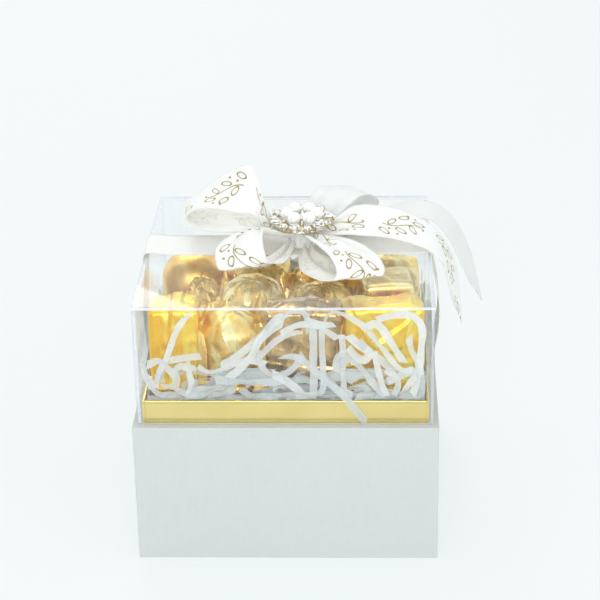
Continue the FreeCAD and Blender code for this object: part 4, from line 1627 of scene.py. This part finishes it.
@dataclass
class Shreds:
    """The bed of shredded paper and the strips that curl up from it; millimetres."""

    thickness: float = 0.12
    widths: Pair = (3.0, 4.2)
    steps: int = 26
    points: int = 5
    twist: float = 30.0
    side_twist: float = 8.0
    sway_lengths: Pair = (18.0, 34.0)
    skew: float = 0.5
    least_depth: float = 2.5
    hand_tones: Pair = (0.35, 1.0)
    escaped_width: float = 3.9
    escaped_leans: Pair = (4.0, 0.0)
    escaped_tone: float = 0.55
    low_strips: int = 50
    low_starts: Pair = (-64.0, 64.0)
    low_levels: Pair = (87.5, 94.0)
    low_depths: Pair = (3.0, 7.0)
    low_turn: float = 0.7
    low_paces: Pair = (5.0, 10.0)
    low_rise: float = 0.6
    low_drift: float = 1.2
    low_lean: float = 50.0
    # Low strips lie in shade and are painted darker: painted shade
    low_shaded_tones: Pair = (0.0, 0.7)
    side_strips: int = 56
    side_starts: Pair = (-64.0, 40.0)
    side_spans: Pair = (12.0, 26.0)
    side_levels: Pair = (88.2, 95.0)
    side_wander: float = 2.2
    side_gap: float = 1.35
    side_spread: float = 0.6
    side_top: float = 128.0
    side_lean: float = 10.0
    side_tones: Pair = (0.2, 1.0)
    bed_level: float = 86.6
    bed_grid: int = 140
    bed_waves: int = 22
    bed_lengths: Pair = (5.0, 14.0)
    bed_swell: float = 0.6
    bed_limit: float = 2.2
    bed_gap: float = 0.4
    bed_tone: float = 0.8
    dip: float = 2.6
    dip_start: float = -62.0
    dip_reach: float = 3.0
    sink: float = 1.2
    sink_slope: float = 9.0
    seed: int = 23

    # Where the low strips may lie: X, depth from the front sheet, and Z
    LOW_ROOM = ((-66.5, 66.5), (2.6, 7.4), (87.0, 99.0))

    # The sheets with strips behind them: axis, which end of it, and how far the steepest strips climb
    SIDES = ((0, -1, 8.0), (0, 1, 14.0), (1, 1, 8.0))

    # Routes of the strips behind the front sheet, as X and Z; depth is measured back from the sheet
    STRANDS = (
        Strand(3.0, 2.2, 10, -15, ((-44.6, 132.5), (-50.7, 125), (-54, 117), (-57.3, 108), (-61, 101),
                                   (-63, 93))),
        Strand(2.0, 3.0, 25, -20, ((-66.5, 105), (-61, 107), (-57, 103), (-53, 98), (-54, 92))),
        Strand(3.8, 2.6, -10, 30, ((-58, 106), (-50, 108), (-44.6, 109), (-40.5, 109.5))),
        Strand(2.2, 3.4, 30, 5, ((-55, 100), (-51, 104), (-46.5, 103), (-43, 102.5))),
        Strand(1.6, 3.0, 0, 40, ((-69, 106), (-67.5, 98), (-63, 90), (-58, 88))),
        Strand(2.8, 2.0, -25, 15, ((-46.7, 107), (-46.4, 100), (-45.6, 95), (-47.5, 89))),
        Strand(1.6, 1.8, 15, -25, ((-60, 93), (-55, 93), (-50, 90), (-42.7, 88), (-37, 90), (-31.5, 95))),
        Strand(2.2, 3.0, -15, 20, ((-42, 104), (-37, 101), (-30, 102.5), (-23, 106), (-16, 107),
                                   (-9, 105))),
        Strand(1.5, 1.6, 5, -10, ((-34, 97), (-26, 96), (-16, 95.5), (-7, 95.5), (1, 97))),
        Strand(2.6, 4.4, 10, 35, ((-31, 104), (-23.5, 109), (-16.4, 114.5), (-10, 121), (-4.6, 127),
                                  (0.5, 131))),
        Strand(2.0, 3.6, -20, 25, ((-27, 98), (-20.5, 104), (-15, 111), (-12, 117.5), (-7, 122.5),
                                   (0, 127))),
        Strand(1.8, 2.0, 35, -35, ((-12, 113), (-11.7, 106), (-8.4, 100.5), (-4, 99), (1, 100.5),
                                   (5, 104))),
        Strand(3.4, 3.8, 20, 0, ((-13, 108), (-9, 112), (-4.6, 116.5), (1, 120), (8, 122))),
        Strand(4.6, 5.8, 60, 75, ((-1, 129), (1.5, 131.3), (6, 132.2), (9.5, 131.5), (11.5, 127),
                                  (12, 121))),
        Strand(4.8, 1.8, 70, 10, ((19.5, 126), (21.5, 131), (25, 132.2), (29, 131), (35, 127.5),
                                  (39.5, 124),
                                  (44, 118), (48.5, 112), (53, 105.5), (57.5, 101.5), (62, 102.5))),
        Strand(1.6, 2.2, 0, 10, ((14, 127), (14.2, 118), (14, 108), (14.1, 97), (13.6, 88))),
        Strand(2.4, 2.8, 8, -12, ((18.4, 125), (18.2, 116), (18.6, 106), (18.8, 94), (17, 88))),
        Strand(2.2, 3.0, 12, 40, ((-1.5, 121.5), (4, 125), (10.3, 126.6), (17.4, 125), (21.4, 122),
                                  (26, 118.5))),
        Strand(3.2, 1.6, 45, 0, ((11.8, 131), (12.4, 128.5), (17.4, 126.4), (24.5, 126.2))),
        Strand(2.6, 3.4, 0, 30, ((27.8, 121), (28.4, 113), (28, 103), (28.6, 93), (27, 88))),
        Strand(1.8, 2.8, 15, -30, ((31, 120.5), (36, 115.5), (41, 111.5), (39, 107.5), (35, 109),
                                   (31, 114))),
        Strand(2.0, 3.0, 55, 30, ((24.8, 101), (25.2, 107.5), (27.6, 110.8), (31.5, 109.6), (34, 105))),
        Strand(1.6, 2.2, -30, 20, ((26.5, 103), (30.6, 108), (35, 105.5), (39, 100.5), (44, 93.5),
                                   (49.4, 88))),
        Strand(3.0, 2.4, 25, -10, ((39.5, 124.5), (43.5, 126.6), (46.8, 124.5), (50.3, 118.5),
                                   (54.2, 112), (57.5, 106))),
        Strand(4.0, 1.9, 35, -20, ((44.5, 128), (50.3, 130.2), (56, 131.2), (61.2, 130.6),
                                   (65.4, 127), (66.6, 121),
                                   (66, 113.5), (65.4, 105.5), (64, 95.5), (62, 88.5))),
        Strand(1.8, 2.6, 10, 45, ((50, 96), (54, 98), (58, 100), (63, 102.5))),
        Strand(2.0, 1.6, -20, 20, ((43.6, 112), (45, 103.5), (46.8, 95.5), (49.5, 88))),
        Strand(2.8, 2.2, 40, -40, ((49, 102), (53, 99), (55, 94), (53, 88.5))),
        Strand(1.8, 2.4, 0, 30, ((63.5, 99), (60, 94), (56, 88.5))),
        Strand(1.6, 2.4, -15, 25, ((-2, 109), (4.7, 109.3), (9.4, 106.8), (13.6, 102.5), (19, 97),
                                   (25, 92), (33, 88.5))),
        Strand(2.2, 3.2, 30, -10, ((-6, 100), (-1, 97.5), (4.2, 93), (9, 89), (14, 88))),
        Strand(3.0, 3.6, -35, 10, ((-2, 101), (3, 102), (7, 106), (9, 110))),
        Strand(2.4, 3.4, 5, 50, ((36, 118), (40, 113), (46, 108), (50, 104), (56, 102))),
        Strand(3.6, 2.6, 50, 10, ((60, 119), (61.5, 112), (64.5, 106), (66, 99))),
    )
    # A strip that hangs out over the neck's front panel: X, Y and Z
    ESCAPED = ((12.5, -66.5, 103), (17.2, -66.8, 98.5), (22.5, -67.5, 94), (27.2, -68.6, 89.6),
               (30.2, -69.8, 86.9), (32.0, -70.33, 84.4), (35.5, -70.35, 79.8), (39.6, -70.35, 74.6))

    def __post_init__(self) -> None:
        """Takes the front sheet's inside face, the bed's outline and the sweets' boxes from the frame."""
        self.front = node_box("lid_front_panel")[1][1]
        self.low, self.high = node_box("shred_bed")
        self.half = node_box("neck_front_panel")[1][0] - self.bed_gap
        self.boxes = [node_box(CHOCOLATE % (i + 1)) for i in range(len(Chocolates.WRAPS))]
        self.random = np.random.default_rng(self.seed)

    def strip(self, route: Array, width: float, leans: Pair, facing: Array, tone: float,
              twist: float) -> Form:
        """One strip.

        A thin oblong section carried along a smooth path; its width lies square to the path and to
        the way it faces, leans round the path from the first angle to the second, and twists to and
        fro by a sine. Its two ends are cut aslant.

        Args:
            route: Points that the strip passes through.
            width: Its width.
            leans: Its angles about the path at its two ends, in degrees.
            facing: The way that its flat face looks at no lean.
            tone: How lit its paper is painted and how thick it is, from 0 to 1.
            twist: How far it twists to and fro, in degrees.
        Returns:
            The closed strip.
        """
        even, middle = even_steps(smooth_rows(route, 24), self.steps)
        along = unit(np.gradient(middle, axis=0))
        side = unit(np.cross(along, facing))
        normal = np.cross(side, along)
        sway = np.sin(2 * math.pi * even / self.random.uniform(*self.sway_lengths)
                      + self.random.uniform(0, 2 * math.pi))
        lean = np.radians(np.linspace(*leans, self.steps) + twist * sway)[:, None]
        across = side * np.cos(lean) + normal * np.sin(lean)
        proud = np.cross(across, along)
        corners = np.array([(0.5, 0.5), (-0.5, 0.5), (-0.5, -0.5), (0.5, -0.5)]) * [width, self.thickness]
        rings = middle[:, None] + corners[:, :1] * across[:, None] + corners[:, 1:] * proud[:, None]
        for end in (0, -1):
            rings[end] += corners[:, :1] * along[end] * self.random.uniform(-self.skew, self.skew) * 2
        form = capped_tube(rings)
        form.values = {"tone": np.full(len(form.points), tone)}
        return form

    def by_hand(self) -> list[Form]:
        """The strips of the table, and the one that hangs out."""
        forms = []
        for strand in self.STRANDS:
            x, z = np.array(strand.route, dtype=float).T
            depth = np.maximum(np.linspace(strand.near, strand.far, len(x)), self.least_depth)
            route = np.stack([x, self.front + depth, z], -1)
            width = self.random.uniform(*self.widths)
            tone = self.random.uniform(*self.hand_tones)
            forms.append(self.strip(route, width, (strand.lean, strand.end_lean), FORWARD, tone, self.twist))
        forms.append(self.strip(np.array(self.ESCAPED, dtype=float), self.escaped_width, self.escaped_leans,
                                FORWARD, self.escaped_tone, 0.0))
        return forms

    def along_front(self) -> list[Form]:
        """Short strips that lie low behind the front sheet, each a random walk that turns slowly."""
        forms = []
        random = self.random
        lowest, highest = np.array(self.LOW_ROOM).T
        for _ in range(self.low_strips):
            yaw = np.cumsum(random.normal(0, self.low_turn, self.points)) + random.uniform(0, 2 * math.pi)
            pace = random.uniform(*self.low_paces)
            x = random.uniform(*self.low_starts) + np.cumsum(np.cos(yaw)) * pace
            z = random.uniform(*self.low_levels) + np.cumsum(np.sin(yaw)) * pace * self.low_rise
            depth = random.uniform(*self.low_depths)
            drift = random.uniform(-self.low_drift, self.low_drift)
            y = np.linspace(depth, depth + drift, self.points)
            route = np.clip(np.stack([x, y, z], -1), lowest, highest)
            route = route + [0, self.front, 0] + np.linspace([0, 0, 0], [0, 0, 0.5], self.points)
            leans = tuple(random.uniform(-self.low_lean, self.low_lean, 2))
            forms.append(self.strip(route, random.uniform(*self.widths), leans, FORWARD,
                                    random.uniform(*self.low_shaded_tones), self.twist))
        return forms

    def along_side(self, axis: int, sign: int, climb: float) -> list[Form]:
        """Strips behind a side or back sheet, close to it, which wind along and climb a little.

        Args:
            axis: The axis that the sheet is square to.
            sign: Which of its two ends the sheet is at.
            climb: How far the steepest of them rise.
        Returns:
            The strips.
        """
        forms = []
        random = self.random
        facing = np.zeros(3)
        facing[axis] = sign
        for _ in range(self.side_strips):
            route = np.empty((self.points, 3))
            start = random.uniform(*self.side_starts)
            route[:, 1 - axis] = np.linspace(start, start + random.uniform(*self.side_spans), self.points)
            level = random.uniform(*self.side_levels)
            rise = level + np.cumsum(random.normal(0, self.side_wander, self.points))
            rise = rise + np.linspace(0, climb * random.uniform(0, 1) ** 2, self.points)
            route[:, 2] = np.clip(rise, self.side_levels[0], self.side_top)
            spread = random.uniform(-self.side_spread, self.side_spread)
            route[:, axis] = sign * (-self.front - self.side_gap + spread)
            leans = tuple(random.uniform(-self.side_lean, self.side_lean, 2))
            forms.append(self.strip(route, random.uniform(*self.widths), leans, facing,
                                    random.uniform(*self.side_tones), self.side_twist))
        return forms

    def bed(self) -> Form:
        """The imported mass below: a height over X and Y made of crossing waves, sunk under each sweet."""
        x, y = np.meshgrid(np.linspace(-self.half, self.half, self.bed_grid),
                           np.linspace(self.low[1], self.high[1], self.bed_grid), indexing="ij")
        rise = np.zeros_like(x)
        for _ in range(self.bed_waves):
            angle = self.random.uniform(0, math.pi)
            length = self.random.uniform(*self.bed_lengths)
            phase = (x * math.cos(angle) + y * math.sin(angle)) / length + self.random.uniform(0, 1)
            rise += triangle(phase) - 0.5
        top = self.bed_level + np.clip(rise * self.bed_swell, -self.bed_limit, self.bed_limit)
        top = top - self.dip * np.clip((self.dip_start - y) / self.dip_reach, 0, 1)
        for low, high in self.boxes:
            away = np.maximum.reduce([low[0] - x, x - high[0], low[1] - y, y - high[1], np.zeros_like(x)])
            top = np.minimum(top, low[2] - self.sink + away * self.sink_slope)
        upper = np.stack([x, y, top], -1)
        lower = np.stack([x, y, np.full_like(top, self.low[2])], -1)
        form = two_layers(upper, lower)
        form.values["tone"] = np.full(len(form.points), self.bed_tone)
        return form

    def build(self, finishes: Finishes) -> None:
        """Makes the bed and the strips.

        Args:
            finishes: The materials.
        """
        place_piece("shred_mass", self.bed(), finishes.packed, "base", ["shred_bed"])
        groups = {"front": self.by_hand(), "low": self.along_front(),
                  "sides": [form for side in self.SIDES for form in self.along_side(*side)]}
        for name, forms in groups.items():
            place_piece("shred_strips_" + name, joined(forms), finishes.shred, "base",
                        smooth=False)


@dataclass(frozen=True)
class Lamp:
    """One square soft lamp: its place, its side and its power."""

    name: str
    place: tuple[float, float, float]
    size: float
    power: float


@dataclass
class Studio:
    """Camera, lamps, floor and sky of a bright table-top picture; metres and degrees."""

    image: float = 600.0
    focal_pixels: float = 1902.4
    sensor: float = 36.0
    eye: tuple[float, float, float] = (0.0412, -0.8922, 0.515)
    pitch: float = 24.489
    yaw: float = -2.298
    roll: float = -1.077
    backdrop: Colour = (0.875, 0.925, 0.922, 1)
    ambient: Colour = (0.985, 1.0, 1.0, 1)
    ambient_strength: float = 0.82
    side_gain: float = 0.22
    dimming: float = 0.68
    dim_front: Pair = (0.40, 0.90)
    floor_half: float = 6.0
    floor_level: float = -0.0002
    floor_colours: tuple[Colour, Colour] = ((0.87, 0.92, 0.915, 1), (0.88, 0.93, 0.93, 1))
    floor_grain: float = 14.0
    floor_glow: float = 0.72
    aim: tuple[float, float, float] = (0.0, 0.0, 0.09)

    LAMPS = (Lamp("overhead", (-0.15, 0.10, 1.35), 0.9, 1.4), Lamp("back", (-0.3, 1.25, 1.1), 0.7, 4.0),
             Lamp("front", (0.04, -1.36, 0.7), 0.8, 7.6), Lamp("front_right", (0.95, -0.95, 0.8), 0.6, 1.6))
    BOUNCES = {"transparent_max_bounces": 32, "max_bounces": 24, "diffuse_bounces": 16, "glossy_bounces": 12}

    def camera(self) -> None:
        """The photograph's viewpoint: yaw and pitch aim it, and roll turns it about its aim."""
        data = bpy.data.cameras.new("camera")
        data.sensor_width = self.sensor
        data.lens = self.focal_pixels / self.image * self.sensor
        data.clip_start, data.clip_end = 0.02, 60.0
        yaw, pitch, roll = (math.radians(angle) for angle in (self.yaw, self.pitch, self.roll))
        forward = np.array([math.sin(yaw) * math.cos(pitch), math.cos(yaw) * math.cos(pitch),
                            -math.sin(pitch)])
        right = np.array([math.cos(yaw), -math.sin(yaw), 0])
        up = np.cross(right, forward)
        across = right * math.cos(roll) + up * math.sin(roll)
        upward = -right * math.sin(roll) + up * math.cos(roll)
        bpy.context.scene.camera = self.put("camera", data, [across, upward, -forward], self.eye)

    def put(self, name: str, data: bpy.types.ID, axes: list, place: Sequence[float]) -> bpy.types.Object:
        """A new object in the scene, with its axes and its place.

        Args:
            name: Its name.
            data: Its mesh, lamp or camera.
            axes: Its own X, Y and Z.
            place: Where it stands.
        Returns:
            The object.
        """
        matrix = np.eye(4)
        matrix[:3, :3] = np.stack(axes, -1)
        matrix[:3, 3] = place
        item = bpy.data.objects.new(name, data)
        item.matrix_world = Matrix(matrix.tolist())
        bpy.context.scene.collection.objects.link(item)
        return item

    def sky(self) -> None:
        """A plain pale world, dimmer as a light than it looks.

        Gloss sees it brighter overhead and to the sides, and dim in front, where the dark room
        behind the camera is: the dimming grows smoothly with how far a ray runs to the front.
        """
        r = Recipe("studio", world=True)
        ray = r.parts(r.add("TexCoord").outputs["Generated"])
        front = r.between(r.product(ray[1], -1.0), *self.dim_front)
        gloss = r.add("LightPath").outputs["Is Glossy Ray"]
        change = r.math("SUBTRACT", self.side_gain, r.product(front, self.dimming))
        strength = r.math("MULTIPLY_ADD", gloss, change, 1.0)
        light = r.add("Background", {"Color": self.ambient, "Strength": self.ambient_strength}).outputs[0]
        look = r.add("Background", {"Color": self.backdrop, "Strength": strength}).outputs[0]
        bpy.context.scene.world = r.done(r.blend(r.seen(), light, look))

    def floor(self) -> None:
        """A plain pale table top, which keeps half of the object's shadow."""
        r = Recipe("floor_paper")
        colour = r.mixed(r.noise(r.place(), self.floor_grain), *self.floor_colours)
        matt = r.principled(Base_Color=colour, Roughness=0.8)
        glow = r.add("Emission", {"Color": self.backdrop, "Strength": 1.0}).outputs[0]
        material = r.done(r.blend(r.product(r.seen(), self.floor_glow), matt, glow))
        side = np.array([-1.0, 1.0]) * self.floor_half
        x, y = np.meshgrid(side, side, indexing="ij")
        points = np.stack([x, y, np.full_like(x, self.floor_level)], -1).reshape(-1, 3)
        mesh = bpy.data.meshes.new("floor")
        mesh.from_pydata(points.tolist(), [], [[0, 2, 3, 1]])
        mesh.materials.append(material)
        self.put("floor", mesh, list(np.eye(3)), (0, 0, 0))

    def light(self, lamp: Lamp) -> None:
        """Puts up a lamp that faces the object.

        Args:
            lamp: The lamp's row of the table.
        """
        data = bpy.data.lights.new(lamp.name, "AREA")
        data.shape, data.size, data.energy = "SQUARE", lamp.size, lamp.power
        back = unit(np.array(lamp.place) - np.array(self.aim))
        side = unit(np.cross([0.05, 1.0, 0.1], back))
        self.put(lamp.name, data, [side, np.cross(back, side), back], lamp.place)

    def build(self) -> None:
        """Sets up the picture."""
        scene = bpy.context.scene
        scene.view_settings.view_transform = "Standard"
        for limit, count in self.BOUNCES.items():
            setattr(scene.cycles, limit, count)
        self.camera()
        self.sky()
        self.floor()
        for lamp in self.LAMPS:
            self.light(lamp)


def main() -> None:
    """Builds the studio, dresses the frame and makes the new pieces."""
    logging.basicConfig(level=logging.INFO, format="%(name)s: %(message)s")
    Studio().build()
    finishes = Finishes()
    FrameDress(finishes).dress()
    Chocolates().build(finishes)
    Shreds().build(finishes)
    LidSheets().build(finishes)
    Bow().build(finishes)
    Brooch().build(finishes)


if __name__ == "__main__":
    main()
